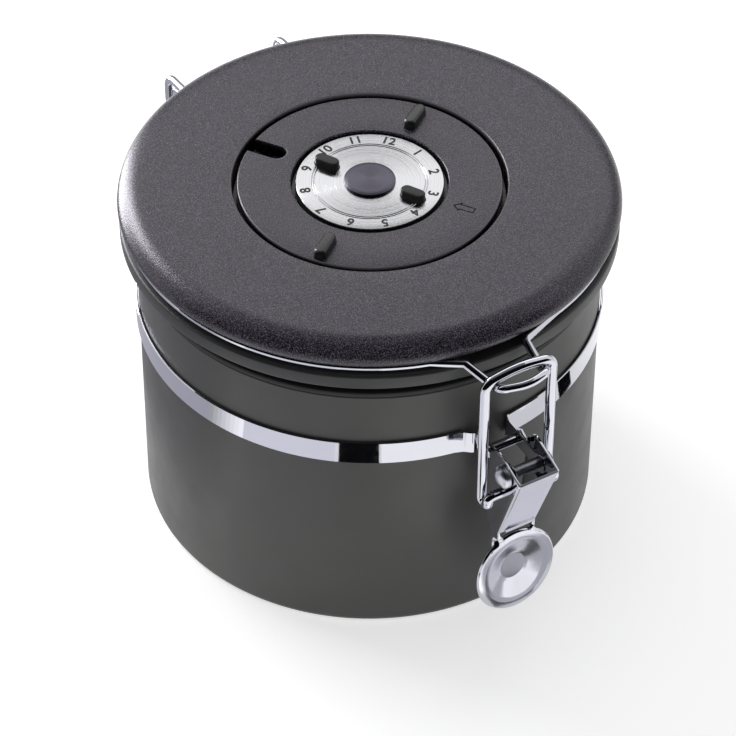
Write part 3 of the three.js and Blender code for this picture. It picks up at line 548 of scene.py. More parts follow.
class Finish:
    """One material and the nodes behind it."""

    def __init__(self, name, **fixed):
        self.material = bpy.data.materials.new(name)
        self.tree = cleared_tree(self.material)
        self.surface = self.tree.nodes.new("ShaderNodeBsdfPrincipled")
        output = self.tree.nodes.new("ShaderNodeOutputMaterial")
        self.tree.links.new(self.surface.outputs[0], output.inputs[0])
        for key, value in fixed.items():
            self.set(key.replace("_", " "), value)
        self.place = self.make("ShaderNodeTexCoord", {}, {}, "Object")

    def make(self, kind, settings, values, output=0):
        """Adds a node: its settings first, then the values or links of its sockets."""
        node = self.tree.nodes.new(kind)
        for key, value in settings.items():
            setattr(node, key, value)
        for key, value in values.items():
            socket = node.inputs[key] if isinstance(key, int) else self.named(node.inputs, key)
            if isinstance(value, Signal):
                self.tree.links.new(value.socket, socket)
            else:
                socket.default_value = value
        found = node.outputs[output] if isinstance(output, int) else self.named(node.outputs, output)
        return Signal(self, found)

    @staticmethod
    def named(sockets, key):
        return next(s for s in sockets if key in (s.identifier, s.name) and s.enabled)

    def set(self, key, value):
        socket = self.surface.inputs[key]
        if isinstance(value, Signal):
            self.tree.links.new(value.socket, socket)
        else:
            socket.default_value = value

    def noise(self, scale, detail=2.0, roughness=0.5):
        values = {"Vector": self.place, "Scale": scale, "Detail": detail, "Roughness": roughness}
        return self.make("ShaderNodeTexNoise", {}, values, "Fac")

    def circles(self, scale, detail):
        """Noise that changes only with the distance from the Z axis."""
        values = {"W": self.radius(), "Scale": scale, "Detail": detail, "Roughness": 0.6}
        return self.make("ShaderNodeTexNoise", {"noise_dimensions": "1D"}, values, "Fac")

    def vector(self, operation, values):
        return self.make("ShaderNodeVectorMath", {"operation": operation}, values)

    def along(self, axis):
        """The place along one axis, in metres."""
        return self.make("ShaderNodeSeparateXYZ", {}, {0: self.place}, axis)

    def radius(self):
        """Distance from the Z axis, in metres."""
        x, y = self.along("X"), self.along("Y")
        squares = x * x + y * y
        return squares.maths("SQRT", squares)

    def height(self):
        return self.along("Z")

    def mix(self, share, first, second):
        """A colour between two colours."""
        values = {"Factor_Float": share, "A_Color": first, "B_Color": second}
        return self.make("ShaderNodeMix", {"data_type": "RGBA"}, values, "Result_Color")

    def between(self, signal, low, high, to_low, to_high):
        """A value moved from one range to another and held inside it."""
        values = {"Value": signal, "From Min": low, "From Max": high, "To Min": to_low, "To Max": to_high}
        return self.make("ShaderNodeMapRange", {}, values, "Result")

    def bump(self, height, strength, distance):
        values = {"Height": height, "Strength": strength, "Distance": distance}
        return self.make("ShaderNodeBump", {}, values, "Normal")


def grey(level, warmth=0.0):
    """A grey with a little more red and less blue for warmth above 0."""
    return (level * (1 + warmth), level, level * (1 - warmth), 1)


def painted_steel():
    """Grey paint outside and bare steel inside."""
    finish = Finish("painted_steel_finish")
    radius = finish.radius()
    mottle = finish.noise(35, 3)
    paint = finish.mix(mottle, grey(0.054, 0.025), grey(0.061, 0.025))
    grain = finish.noise(3200, 2)
    paint = finish.mix(finish.between(grain, 0.35, 0.7, 0, 0.25), paint, grey(0.072, 0.02))
    steel = finish.mix(finish.noise(260, 4), grey(0.5), grey(0.62))
    inside = radius < (SHELL_RADIUS - 0.45) * MM
    raised_floor = finish.height() > 0.0005
    bare = inside * raised_floor
    finish.set("Base Color", finish.mix(bare, paint, steel))
    finish.set("Metallic", bare)
    roughness = finish.between(finish.noise(120, 3), 0.3, 0.7, 0.4, 0.47)
    finish.set("Roughness", roughness - bare * 0.12)
    peel = finish.noise(900, 2) * 0.6 + grain * 0.4
    finish.set("Normal", finish.bump(peel, 0.12, 0.00012))
    return finish.material


def grained_plastic():
    """Grained top faces; the dial's lips are smooth and lightened in colour as a painted highlight, and the walls of
    its grooves plain and darkened as painted shade.
    """
    finish = Finish("grained_plastic_finish", Specular_IOR_Level=0.46, Specular_Tint=(0.96, 0.91, 1.0, 1))
    coarse = finish.noise(2100, 2, 0.7)
    fine = finish.noise(3900, 1, 0.6)
    cloud = finish.noise(40, 2)
    base = finish.mix(cloud, (0.014, 0.013, 0.017, 1), (0.017, 0.0155, 0.02, 1))
    pits = finish.mix(finish.between(coarse, 0.4, 0.52, 1, 0), base, (0.007, 0.0065, 0.0085, 1))
    tips = finish.between(fine, 0.54, 0.62, 0, 1)
    skin = finish.mix(tips, pits, (0.15, 0.14, 0.175, 1))
    radius = finish.radius()
    slot_end = at_angle(SLOT_START + SLOT_WIDTH / 2, SLOT_ANGLE) @ Vector((0, 0, RING_TOP * MM))
    distance = {"operation": "DISTANCE"}
    slot_reach = finish.make("ShaderNodeVectorMath", distance, {0: finish.place, 1: slot_end}, "Value")
    # Painted highlight: the rounded lips of the ring and well, and the slot's inner end, are picked out here for a
    # lighter colour.
    lip_highlight_zone = (radius > 0.03455) * (radius < 0.0352) + (radius > 0.0361) * (radius < 0.03665)
    lip_highlight_zone = lip_highlight_zone + (slot_reach < 0.003) * (radius < 0.0262)
    smooth_lip_painted_highlight = lip_highlight_zone * (finish.height() > (RING_TOP - 0.7) * MM)
    # Painted shade: below the ring's top, the walls of the grooves and the slot are darkened towards black, as shade
    # that falls in them.
    painted_groove_shade = finish.between(finish.height(), (RING_TOP - 1.1) * MM, (RING_TOP - 0.25) * MM, 1, 0)
    painted_groove_shade = painted_groove_shade * (radius < 0.0372)
    # Painted highlight: the lips are lightened in colour where light would catch their edges; their slightly lower
    # roughness is real.
    skin = finish.mix(smooth_lip_painted_highlight, skin, (0.13, 0.126, 0.138, 1))
    finish.set("Base Color", finish.mix(painted_groove_shade, skin, (0.006, 0.006, 0.007, 1)))
    finish.set("Roughness", finish.between(coarse, 0.3, 0.7, 0.23, 0.29) - smooth_lip_painted_highlight * 0.05)
    finish.set("Normal", finish.bump(coarse * 0.6 + fine * 0.4, 0.26, 0.0003))
    return finish.material


def smooth_plastic(name, low, high, roughness, shine=0.5):
    """Plain moulded plastic between two grey levels."""
    finish = Finish(name, Specular_IOR_Level=shine)
    cloud = finish.noise(60, 3)
    finish.set("Base Color", finish.mix(cloud, grey(low, -0.02), grey(high, -0.02)))
    grain = finish.noise(1800, 3)
    finish.set("Roughness", finish.between(grain, 0.3, 0.7, roughness - 0.05, roughness + 0.05))
    finish.set("Normal", finish.bump(grain, 0.1, 0.00008))
    return finish.material


def polished_steel(name, roughness):
    """Bright metal with faint scuffs."""
    finish = Finish(name, Metallic=1.0)
    cloud = finish.noise(90, 3)
    finish.set("Base Color", finish.mix(cloud, (0.54, 0.545, 0.6, 1), (0.61, 0.615, 0.67, 1)))
    scuffs = finish.noise(700, 4, 0.6)
    finish.set("Roughness", finish.between(scuffs, 0.35, 0.75, roughness - 0.03, roughness + 0.03))
    finish.set("Normal", finish.bump(finish.noise(260, 2), 0.05, 0.00006))
    return finish.material


def spun_metal(name, low, high, roughness):
    """Metal turned in fine circles, so that light runs out from the middle."""
    slope = 0.8
    finish = Finish(name, Metallic=1.0)
    rings = finish.circles(4200.0, 3.0)
    finish.set("Base Color", finish.mix(finish.between(rings, 0.3, 0.7, 0, 1), low, high))
    finish.set("Roughness", finish.between(rings, 0.3, 0.7, roughness - 0.03, roughness + 0.03))
    lines = finish.circles(42000.0, 0.0)
    outward = finish.vector("NORMALIZE", {0: finish.vector("MULTIPLY", {0: finish.place, 1: (1.0, 1.0, 0.0)})})
    tilt = finish.vector("SCALE", {0: outward, "Scale": (lines - 0.5) * slope})
    normal = finish.make("ShaderNodeTexCoord", {}, {}, "Normal")
    tilted = finish.vector("ADD", {0: normal, 1: tilt})
    to_world = {"vector_type": "NORMAL", "convert_from": "OBJECT", "convert_to": "WORLD"}
    in_world = finish.make("ShaderNodeVectorTransform", to_world, {0: tilted})
    finish.set("Normal", finish.vector("NORMALIZE", {0: in_world}))
    return finish.material


def rubber(name, colour, other):
    """Dull rubber between two colours."""
    finish = Finish(name)
    cloud = finish.noise(150, 3)
    finish.set("Base Color", finish.mix(cloud, colour, other))
    grain = finish.noise(2600, 3)
    finish.set("Roughness", finish.between(grain, 0.3, 0.7, 0.62, 0.75))
    finish.set("Normal", finish.bump(grain, 0.2, 0.0001))
    return finish.material


def felt():
    """The filter's pale fibres."""
    finish = Finish("felt_finish")
    fibres = finish.noise(4200, 6, 0.8)
    finish.set("Base Color", finish.mix(fibres, (0.6, 0.58, 0.52, 1), (0.85, 0.83, 0.78, 1)))
    finish.set("Roughness", finish.between(fibres, 0.3, 0.7, 0.85, 0.98))
    finish.set("Normal", finish.bump(fibres, 0.8, 0.0003))
    return finish.material


def printed_ink(name, colour, other):
    """Printed ink between two colours."""
    finish = Finish(name, Specular_IOR_Level=0.15)
    cloud = finish.noise(900, 3)
    finish.set("Base Color", finish.mix(cloud, colour, other))
    finish.set("Roughness", finish.between(cloud, 0.3, 0.7, 0.4, 0.55))
    return finish.material


PAINT = painted_steel()
GRAINED = grained_plastic()
DARK_PLASTIC = smooth_plastic("dark_plastic_finish", 0.026, 0.032, 0.42)
KNOB_PLASTIC = smooth_plastic("knob_plastic_finish", 0.02, 0.026, 0.3, 0.25)
RIB_PLASTIC = smooth_plastic("rib_plastic_finish", 0.01, 0.014, 0.24)
BLACK_PLASTIC = smooth_plastic("black_plastic_finish", 0.008, 0.012, 0.4)
CHROME = polished_steel("polished_steel_finish", 0.055)
SATIN_CHROME = polished_steel("satin_steel_finish", 0.16)
DULL_CHROME = polished_steel("dull_steel_finish", 0.32)
SPUN_FACE = spun_metal("spun_face_finish", (0.4, 0.4, 0.415, 1), (0.48, 0.48, 0.497, 1), 0.15)
SPUN_BADGE = spun_metal("spun_badge_finish", (0.085, 0.08, 0.1, 1), (0.105, 0.1, 0.125, 1), 0.33)
PLAIN_STEEL = spun_metal("plain_steel_finish", grey(0.4), grey(0.55), 0.3)
SEAL = rubber("seal_rubber_finish", grey(0.018), grey(0.026))
CLEAR_RUBBER = rubber("valve_rubber_finish", (0.6, 0.58, 0.54, 1), (0.7, 0.68, 0.64, 1))
FELT = felt()
FILM = smooth_plastic("scale_film_finish", 0.005, 0.009, 0.5)
DARK_INK = printed_ink("dark_ink_finish", grey(0.045), grey(0.075))
SCALE_INK = printed_ink("scale_ink_finish", (0.05, 0.16, 0.18, 1), (0.07, 0.2, 0.22, 1))


# Shell, strap and bracket

def make_shell():
    inner = SHELL_RADIUS - SHELL_WALL
    rim = SHELL_HEIGHT
    corners = [
        (0, 0, 0),
        (SHELL_RADIUS - SHELL_FOOT - 3.0, 0, 0),
        (SHELL_RADIUS, 0, SHELL_FOOT),
        (SHELL_RADIUS, rim, 0.35),
        (inner, rim, 0.35),
        (inner, SHELL_FLOOR, SHELL_FOOT - SHELL_WALL),
        (0, SHELL_FLOOR, 0),
    ]
    shell = turned("shell", corners, PAINT, 192, 8)
    piece_of(shell, "base", "painted_steel", "canister_body")


def ear_heights(line):
    """Lower and upper edges of the strap along its line: low ears with round tips."""
    lows, highs = [], []
    for point in line:
        reach = -point.y
        half = (STRAP_HIGH - STRAP_LOW) / 2
        if abs(point.x) < 6 and reach > EAR_ROOT:
            share = min((reach - EAR_ROOT) / EAR_BLEND, 1)
            half += (EAR_HALF - half) * (share * share * (3 - 2 * share))
            past_pivot = reach + PIVOT_Y
            tip = math.sqrt(max(EAR_TIP ** 2 - past_pivot ** 2, 0.04))
            if past_pivot > 0:
                half = tip
            elif past_pivot > -2.2:
                half = max(half, tip)
        lows.append(STRAP_MIDDLE - half)
        highs.append(STRAP_MIDDLE + half)
    return lows, highs


def strap_line():
    """Centre line of the strap, from the tip of the right ear round to the tip of the left one."""
    tip = PIVOT_Y - EAR_TIP + 0.05
    right = [(EAR_RIGHT, tip, 0), (EAR_RIGHT, -(STRAP_LINE + 0.15), 0.8)]
    turn = math.radians(7)
    arc = []
    while turn < math.radians(350):
        arc.append((STRAP_LINE * math.sin(turn), -STRAP_LINE * math.cos(turn), 0))
        turn += math.radians(1.5)
    crease = (-STRAP_CREASE, -math.sqrt(STRAP_LINE ** 2 - STRAP_CREASE ** 2), 0)
    left = [
        crease,
        (-8.6, -(STRAP_LINE - 0.1), 1.5),
        (-6.4, -(STRAP_LINE + 1.7), 1.6),
        (EAR_LEFT, -(STRAP_LINE + 0.9), 1.1),
        (EAR_LEFT, -(STRAP_LINE + 4.5), 0),
        (EAR_LEFT, tip, 0),
    ]
    points = eased(right + arc + left, closed=False, steps=6)
    fine = []
    for a, b in zip(points, points[1:]):
        fine.append(a)
        if max(-a.y, -b.y) > 63.0 and (b - a).length > 0.4 and abs(a.x) < 6:
            pieces = int((b - a).length / 0.4)
            fine += [a.lerp(b, k / pieces) for k in range(1, pieces)]
    return fine + [points[-1]]


def make_strap():
    line = strap_line()
    lows, highs = ear_heights(line)
    strap = finished("strap", swept_bmesh(ribbon_sections(line, lows, highs, STRAP_THICK)), CHROME, 28)
    piece_of(strap, "base", "bright_steel", "clamp_strap")


def along_x(y, z):
    """Turns a Z-turned solid so that its axis lies along X at a place."""
    return Matrix.Translation((0, y * MM, z * MM)) @ Matrix.Rotation(math.pi / 2, 4, "Y")


def make_tie():
    """The short screw that draws the two ears together, and its nut."""
    left = EAR_LEFT - TIE_GAP
    corners = [
        (0, left - 1.2, 0), (1.4, left - 1.2, 0.5), (2.1, left - 0.7, 0.4), (2.1, left, 0.15), (1.3, left, 0),
        (1.3, 5.6, 0.2), (0, 5.6, 0),
    ]
    slot = raised_bmesh([(-3, -0.25), (3, -0.25), (3, 0.25), (-3, 0.25)], left - 2.0, left - 0.75)
    shaft = loose(cut(eased_bmesh(corners, 40), [slot]))
    screw = finished("tie_screw", moved(shaft, along_x(TIE_REACH, STRAP_MIDDLE)), CHROME, 30)
    piece_of(screw, "base", "bright_steel", "strap_screw")
    turns = [math.radians(60 * k) for k in range(6)]
    hexagon = [(2.4 * math.cos(turn), 2.4 * math.sin(turn)) for turn in turns]
    nut = raised_bmesh(hexagon, EAR_RIGHT + TIE_GAP, EAR_RIGHT + 1.6, 0.2)
    nut = finished("tie_nut", moved(nut, along_x(TIE_REACH, STRAP_MIDDLE)), CHROME, 30)
    piece_of(nut, "base", "bright_steel", "strap_nut")


def make_lever_rivet():
    seat = LEVER_HALF + 0.3
    crown = seat + 0.9
    dome = ellipse((0, -crown), (3.1, 1.7), -90, 0, 10)
    far = seat + 0.8
    outline = dome + [(3.1, -seat - 0.15), (2.95, -seat), (1.5, -seat), (1.5, far)]
    outline += [(2.0, far), (2.1, far + 0.1), (2.1, far + 0.35), (1.95, far + 0.5), (0, far + 0.5)]
    rivet = turned_bmesh(outline, 48)
    rivet = finished("lever_pin", moved(rivet, along_x(PIVOT_Y, STRAP_MIDDLE)), DULL_CHROME, 35)
    piece_of(rivet, "base", "bright_steel", "lever_rivet")


def make_bracket():
    """A bent plate on the strap with two upright ears, and the rivets that hold it."""
    steps = 24
    inner = STRAP_LINE + STRAP_THICK / 2 + 0.3
    middle = inner + 0.6
    first = math.pi / 2 - math.asin((HINGE_SHIFT + BRACKET_HALF) / middle)
    last = math.pi / 2 - math.asin((HINGE_SHIFT - BRACKET_HALF) / middle)
    angles = [first + (last - first) * i / steps for i in range(steps + 1)]
    line = [Vector((middle * math.cos(a), middle * math.sin(a))) for a in angles]
    lows, highs = [STRAP_LOW] * len(line), [STRAP_HIGH] * len(line)
    plate = swept_bmesh(ribbon_sections(line, lows, highs, 1.2, 0.25))
    swap = Matrix(((0, 0, 1, 0), (1, 0, 0, 0), (0, 1, 0, 0), (0, 0, 0, 1)))
    ears = []
    for side in (-1, 1):
        place = HINGE_SHIFT + side * BRACKET_EAR
        root = math.sqrt(inner ** 2 - place ** 2) + 0.36
        corners = [
            (root, STRAP_LOW, 0.6),
            (root + 3.6, STRAP_LOW, 1.8),
            (HINGE_Y + 3.4, HINGE_Z - 3.4, 3.4),
            (HINGE_Y + 3.6, HINGE_Z + 3.6, 3.4),
            (HINGE_Y - 3.6, HINGE_Z + 3.6, 3.4),
            (root, STRAP_HIGH, 1.2),
        ]
        ears.append(moved(raised_bmesh(eased(corners, steps=8), place - 0.7, place + 0.7, 0.25), swap))
    bracket = finished("bracket", joined(plate, *ears), CHROME, 30)
    piece_of(bracket, "base", "bright_steel", "hinge_bracket")
    for i, side in enumerate((-1, 1)):
        low = STRAP_LINE + STRAP_THICK / 2 + 0.15
        top = low + 1.65
        outline = [(0, low), (1.6, low), (1.6, top), (2.8, top), (2.9, top + 0.1)]
        outline += ellipse((0, top + 0.1), (2.9, 1.0), 10, 90, 8)
        round_the_strap = -math.asin((HINGE_SHIFT + side * BRACKET_RIVET) / STRAP_LINE)
        outward = Matrix.Translation((0, 0, STRAP_MIDDLE * MM)) @ Matrix.Rotation(-math.pi / 2, 4, "X")
        place = Matrix.Rotation(round_the_strap, 4, "Z") @ outward
        rivet = finished(f"bracket_stud_{i + 1}", moved(turned_bmesh(outline, 48), place), CHROME, 35)
        piece_of(rivet, "base", "bright_steel", f"bracket_rivet_{i + 1}")


# Clamp lever and bail

def pivot_place(across, out, up):
    return Vector((across, PIVOT_Y - out, STRAP_MIDDLE + up))


def lever_walls():
    """The channel: two side walls and the front plate, folded from one sheet."""
    rows_down, web_rows = 44, 41
    wall_steps, fold_steps, web_steps = 8, 4, 6
    web_first = wall_steps + fold_steps - 1
    web_last = web_first + web_steps + 1
    fold = 0.55
    corners = [(-3.6, 4.06, 0), (-5.2, 4.6, 2.2), (-8.0, 1.8, 2.6), (-9.4, -20.6, 1.0), (-6.4, -27.0, 0)]
    back = spread(eased(corners, closed=False, steps=6), rows_down)
    front = spread([(6.1, 0.7), (-2.6, -23.6), (-2.6, -26.2)], rows_down)
    bm = bmesh.new()
    rows = []
    for j, (near, far) in enumerate(zip(front, back)):
        halves = {-1: LEVER_HALF, 1: LEVER_HALF + LEVER_LEAN * (1 - j / rows_down)}
        run = (far - near).normalized()
        width = (far - near).length
        row = []
        for side in (-1, 1):
            column = []
            for k in range(wall_steps + 1):
                reach = fold + (width - fold) * (1 - k / wall_steps)
                place = near + run * reach
                column.append(pivot_place(side * halves[side], place.x, place.y))
            for k in range(1, fold_steps + 1):
                turn = math.pi / 2 * k / fold_steps
                place = near + run * (fold * (1 - math.sin(turn)))
                across = side * (halves[side] - fold * (1 - math.cos(turn)))
                column.append(pivot_place(across, place.x, place.y))
            row.append(column)
        inner = (fold - halves[-1], halves[1] - fold)
        across = [inner[0] + (inner[1] - inner[0]) * k / web_steps for k in range(1, web_steps)]
        middle = [pivot_place(x, near.x, near.y) for x in across]
        rows.append(row[0] + middle + row[1][::-1])
    grid = [[bm.verts.new(p * MM) for p in row] for row in rows]
    for j, (a, b) in enumerate(zip(grid, grid[1:])):
        for k in range(len(a) - 1):
            if j >= web_rows and web_first <= k <= web_last:
                continue
            bm.faces.new((a[k], a[k + 1], b[k + 1], b[k]))
    return bm


def thickened(bm, thick, ease, name):
    """A sheet given its thickness inwards and eased edges."""
    blank = plain(bm, name)
    wall = blank.modifiers.new("wall", "SOLIDIFY")
    wall.thickness = thick * MM
    wall.offset = -1
    wall.use_even_offset = True
    round_edges(blank, ease, 50)
    return loose(settled(blank))


def pad_bmesh():
    """The oval dish that the thumb presses."""
    corners = [
        (0, -2.1, 0),
        (3.7, -2.1, 0.7),
        (4.6, -1.8, 1.0),
        (8.4, -0.3, 2.4),
        (9.7, 0.04, 1.3),
        (11.5, -0.12, 0.5),
        (11.9, -0.7, 0.35),
        (11.8, -1.25, 0.3),
        (11.0, -1.25, 0.4),
        (8.6, -1.2, 1.5),
        (4.4, -2.7, 1.0),
        (0, -2.9, 0),
    ]
    bm = eased_bmesh(corners, 96)
    for face in bm.faces:
        face.material_index = 1
    scale = Matrix.Diagonal((1, PAD_HALF_TALL / PAD_HALF_WIDE, 1, 1))
    turn = Matrix.Rotation(math.pi / 2 - math.radians(3.0), 4, "X")
    place = Matrix.Translation((0, (PIVOT_Y + 1.95) * MM, (STRAP_MIDDLE - PAD_DROP) * MM))
    return moved(bm, place @ turn @ scale)


def sheet_bmesh(grid, thick):
    """A closed sheet of even thickness through a grid of points."""
    rows, columns = len(grid), len(grid[0])
    bm = bmesh.new()
    faces = ([], [])
    for j, row in enumerate(grid):
        for side in (0, 1):
            faces[side].append([])
        for k, point in enumerate(row):
            along = grid[min(j + 1, rows - 1)][k] - grid[max(j - 1, 0)][k]
            across = row[min(k + 1, columns - 1)] - row[max(k - 1, 0)]
            lift = along.cross(across).normalized() * thick / 2
            faces[0][j].append(bm.verts.new((point + lift) * MM))
            faces[1][j].append(bm.verts.new((point - lift) * MM))
    for side in faces:
        for a, b in zip(side, side[1:]):
            for k in range(columns - 1):
                bm.faces.new((a[k], a[k + 1], b[k + 1], b[k]))
    borders = []
    for side in faces:
        there = side[0] + [row[-1] for row in side[1:]]
        back = side[-1][-2::-1] + [row[0] for row in side[-2:0:-1]]
        borders.append(there + back)
    count = len(borders[0])
    for i in range(count):
        j = (i + 1) % count
        bm.faces.new((borders[0][i], borders[0][j], borders[1][j], borders[1][i]))
    return bm


def neck_bmesh(side):
    """One of the two curved flanges that run from the channel's walls to the pad's rim."""
    half = LEVER_HALF - LEVER_WALL / 2
    wall_end = ((-2.9, -24.6), (-4.2, -25.2), (-5.5, -25.8), (-6.4, -26.6))
    top = [pivot_place(side * half, out, up) for out, up in wall_end]
    rim = []
    for angle in (68, 60, 52, 44):
        turn = math.radians(angle)
        height = STRAP_MIDDLE - PAD_DROP + 12.9 * math.sin(turn)
        rim.append(Vector((side * 11.2 * math.cos(turn), PIVOT_Y + 2.6, height)))
    grid = []
    for k in range(9):
        share = k / 8
        one, two = 1 - share, share
        row = []
        for a, b in zip(top, rim):
            down = a + Vector((0, 0, -1.6))
            lead = b + Vector((-side * 1.0, -0.1, 1.0))
            bent = down * 3 * one ** 2 * two + lead * 3 * one * two ** 2
            row.append(a * one ** 3 + bent + b * two ** 3)
        grid.append(row)
    return sheet_bmesh(grid, 0.7)


def make_lever():
    channel = thickened(lever_walls(), LEVER_WALL, 0.12, "channel")
    necks = [neck_bmesh(side) for side in (-1, 1)]
    lever = finished("thumb_lever", joined(channel, pad_bmesh(), *necks), CHROME, 30)
    lever.data.materials.append(SATIN_CHROME)
    piece_of(lever, "lever", "bright_steel", "clamp_lever")


def make_bail():
    low = EYE_Z - 3.0

    def leg(side):
        x = BAIL_SHIFT + side * BAIL_HALF
        return [
            (BAIL_SHIFT + side * 4.3, EYE_Y, EYE_Z, 0),
            (x, EYE_Y, EYE_Z, 1.4),
            (x, EYE_Y, low, 1.65),
            (x, BAIL_Y, low, 1.65),
            (x, BAIL_Y, BAIL_TOP, 3.2),
        ]

    crest = [(BAIL_SHIFT, BAIL_Y, BAIL_TOP + BAIL_BOW, 40.0)]
    route = eased(leg(-1) + crest + leg(1)[::-1], closed=False, steps=10)
    bail = wire("bail", route, BAIL_WIRE, CHROME, 28)
    piece_of(bail, "bail", "bright_steel", "wire_bail")


# Lid

def ring_place(degrees):
    turn = math.radians(degrees)
    return (WIRE_RING * math.sin(turn), -WIRE_RING * math.cos(turn), WIRE_HEIGHT)


def make_lid_wire():
    def half(side):
        leg = HINGE_SHIFT + side * HINGE_HALF
        root = math.sqrt(WIRE_RING ** 2 - leg ** 2)
        back = 180 - math.degrees(math.asin((abs(leg) + 4.8) / WIRE_RING))
        corners = [
            (HINGE_SHIFT + side * 12.2, HINGE_Y, HINGE_Z, 0),
            (leg, HINGE_Y, HINGE_Z, 2.4),
            (leg, HINGE_Y, WIRE_HEIGHT - 1.6, 3.6),
            (leg, root, WIRE_HEIGHT, 2.4),
            (*ring_place(side * back), 0),
        ]
        lead = eased(corners, closed=False, steps=8)[:-1]
        steps = 110
        angles = [side * (back + (17.0 - back) * i / steps) for i in range(steps + 1)]
        return lead + [Vector(ring_place(angle)) for angle in angles]

    left, right = half(-1), half(1)[::-1]
    elbows = [(-2.3 - 8.95, -66.0, WIRE_HEIGHT, 1.6), (-2.3 + 8.95, -66.0, WIRE_HEIGHT, 1.6)]
    dips = [(-7.1, -73.6, WIRE_HEIGHT - 3.9, 4.0), (6.7, -73.6, WIRE_HEIGHT - 3.9, 4.0)]
    fronts = [(-7.1, -77.0, WIRE_HEIGHT - 2.1, 3.6), (6.7, -77.0, WIRE_HEIGHT - 2.1, 3.6)]
    bow = (-0.2, -78.9, WIRE_HEIGHT - 2.1, 12.0)
    there = [(*left[-1], 0), elbows[0], dips[0], fronts[0], bow]
    keeper = there + [fronts[1], dips[1], elbows[1], (*right[0], 0)]
    route = left + eased(keeper, closed=False, steps=10)[1:-1] + right
    lid_wire = wire("ring_wire", route, WIRE_RADIUS, CHROME, 24)
    piece_of(lid_wire, "lid", "bright_steel", "lid_wire")


def make_lid_base():
    corners = [
        (11.2, 77.9, 0.2), (59.6, 77.9, 0.5), (59.6, 79.2, 0.4), (58.0, 79.2, 0.3), (58.0, 85.2, 0.2),
        (61.0, 85.2, 0.3), (61.0, 89.9, 0.4), (66.1, 89.9, 0.6), (66.1, 94.1, 0.7), (62.5, 94.1, 0.4),
        (62.5, 96.9, 0.3), (60.4, 96.9, 0.3), (60.4, 94.1, 0.4), (56.0, 94.1, 0.3), (56.0, 85.7, 0.3),
        (52.5, 85.7, 0.3), (52.5, 79.9, 0.6), (11.2, 79.9, 0.2),
    ]
    base = turned("lid_body", corners, DARK_PLASTIC, 192, 4)
    piece_of(base, "lid", "dark_plastic", "lid_base")


def make_gasket():
    corners = [
        (58.3, 79.6, 0.2), (60.3, 79.6, 0.5), (60.3, 83.4, 0.3), (62.2, 83.4, 0.3), (62.2, 84.9, 0.45),
        (58.3, 84.9, 0.2),
    ]
    gasket = turned("seal", corners, SEAL, 160, 4)
    piece_of(gasket, "lid", "seal_rubber", "lid_gasket")


def make_cap():
    under = [
        (4.1, 95.8, 0.2), (38.3, 95.8, 0.4), (38.3, 101.0, 0.5), (53.9, 101.0, 0.5), (53.9, 86.0, 0.3),
        (55.7, 86.0, 0.3), (55.7, 101.0, 0.5), (63.4, 99.8, 0.8), (63.4, 97.4, 0.2), (65.7, 97.4, 0.35),
        (65.95, 97.9, 0),
    ]
    edge = ellipse((59.8, 98.9), (6.6, 4.5), 2, 90, 18)
    well = [(40, 103.4, 0), (36.3, 103.4, 0.45), (36.3, 97.6, 0.5), (4.1, 97.6, 0.2), (4.1, 96.5, 0)]
    outline = eased(under, closed=False, steps=4) + edge + eased(well, closed=False, steps=5)
    cap = finished("cap", turned_bmesh(outline, 192), GRAINED)
    piece_of(cap, "lid", "grained_plastic", "lid_cap")


def make_valve():
    holes = {"Holes": 6, "Ring Radius": 0.005, "Hole Radius": 0.0012, "Hole Depth": 0.004}
    housing = [
        (1.6, 78.4, 0.1), (9.2, 78.4, 0.3), (9.2, 76.9, 0.1), (8.2, 76.9, 0.15), (8.2, 76.4, 0.15),
        (13.0, 76.4, 0.3), (13.0, 77.6, 0.4), (10.9, 77.6, 0.2), (10.9, 85.0, 0.3), (9.6, 85.0, 0.3),
        (9.6, 79.8, 0.3), (1.6, 79.8, 0.1),
    ]
    mesh = RING_OF_HOLES.grow(eased_bmesh(housing, 96, 3), {**holes, "Hole Middle": 0.0791}, BLACK_PLASTIC)
    piece_of(smoothed("valve_barrel", mesh, BLACK_PLASTIC), "lid", "black_plastic", "valve_housing")
    cover = [
        (0, 85.3, 0), (7.8, 85.3, 0.2), (7.8, 82.1, 0.1), (9.3, 82.1, 0.1), (9.3, 85.3, 0.2), (12.0, 85.3, 0.3),
        (12.0, 86.5, 0.4), (0, 86.5, 0),
    ]
    mesh = RING_OF_HOLES.grow(eased_bmesh(cover, 96, 3), {**holes, "Hole Middle": 0.086}, BLACK_PLASTIC)
    piece_of(smoothed("valve_lid", mesh, BLACK_PLASTIC), "lid", "black_plastic", "valve_cover")
    filter_ring = [(1.6, 77.2, 0.15), (8.9, 77.2, 0.2), (8.9, 78.1, 0.2), (1.6, 78.1, 0.15)]
    piece_of(turned("filter_ring", filter_ring, FELT, 96), "lid", "filter_felt", "valve_filter")
    disc = [(0, 78.2, 0), (1.2, 78.2, 0.3), (1.2, 80.1, 0.2), (8.6, 80.1, 0.15), (8.6, 81.1, 0.4), (0, 81.1, 0)]
    piece_of(turned("lifting_disc", disc, CLEAR_RUBBER, 96), "valve", "valve_rubber", "valve_disc")


# Dials

def stadium(length, width, count=10):
    """The outline of a slot with round ends."""
    straight = (length - width) / 2
    half = width / 2
    far_end = ellipse((straight, 0), (half, half), -90, 90, count)
    return far_end + ellipse((-straight, 0), (half, half), 90, 270, count)


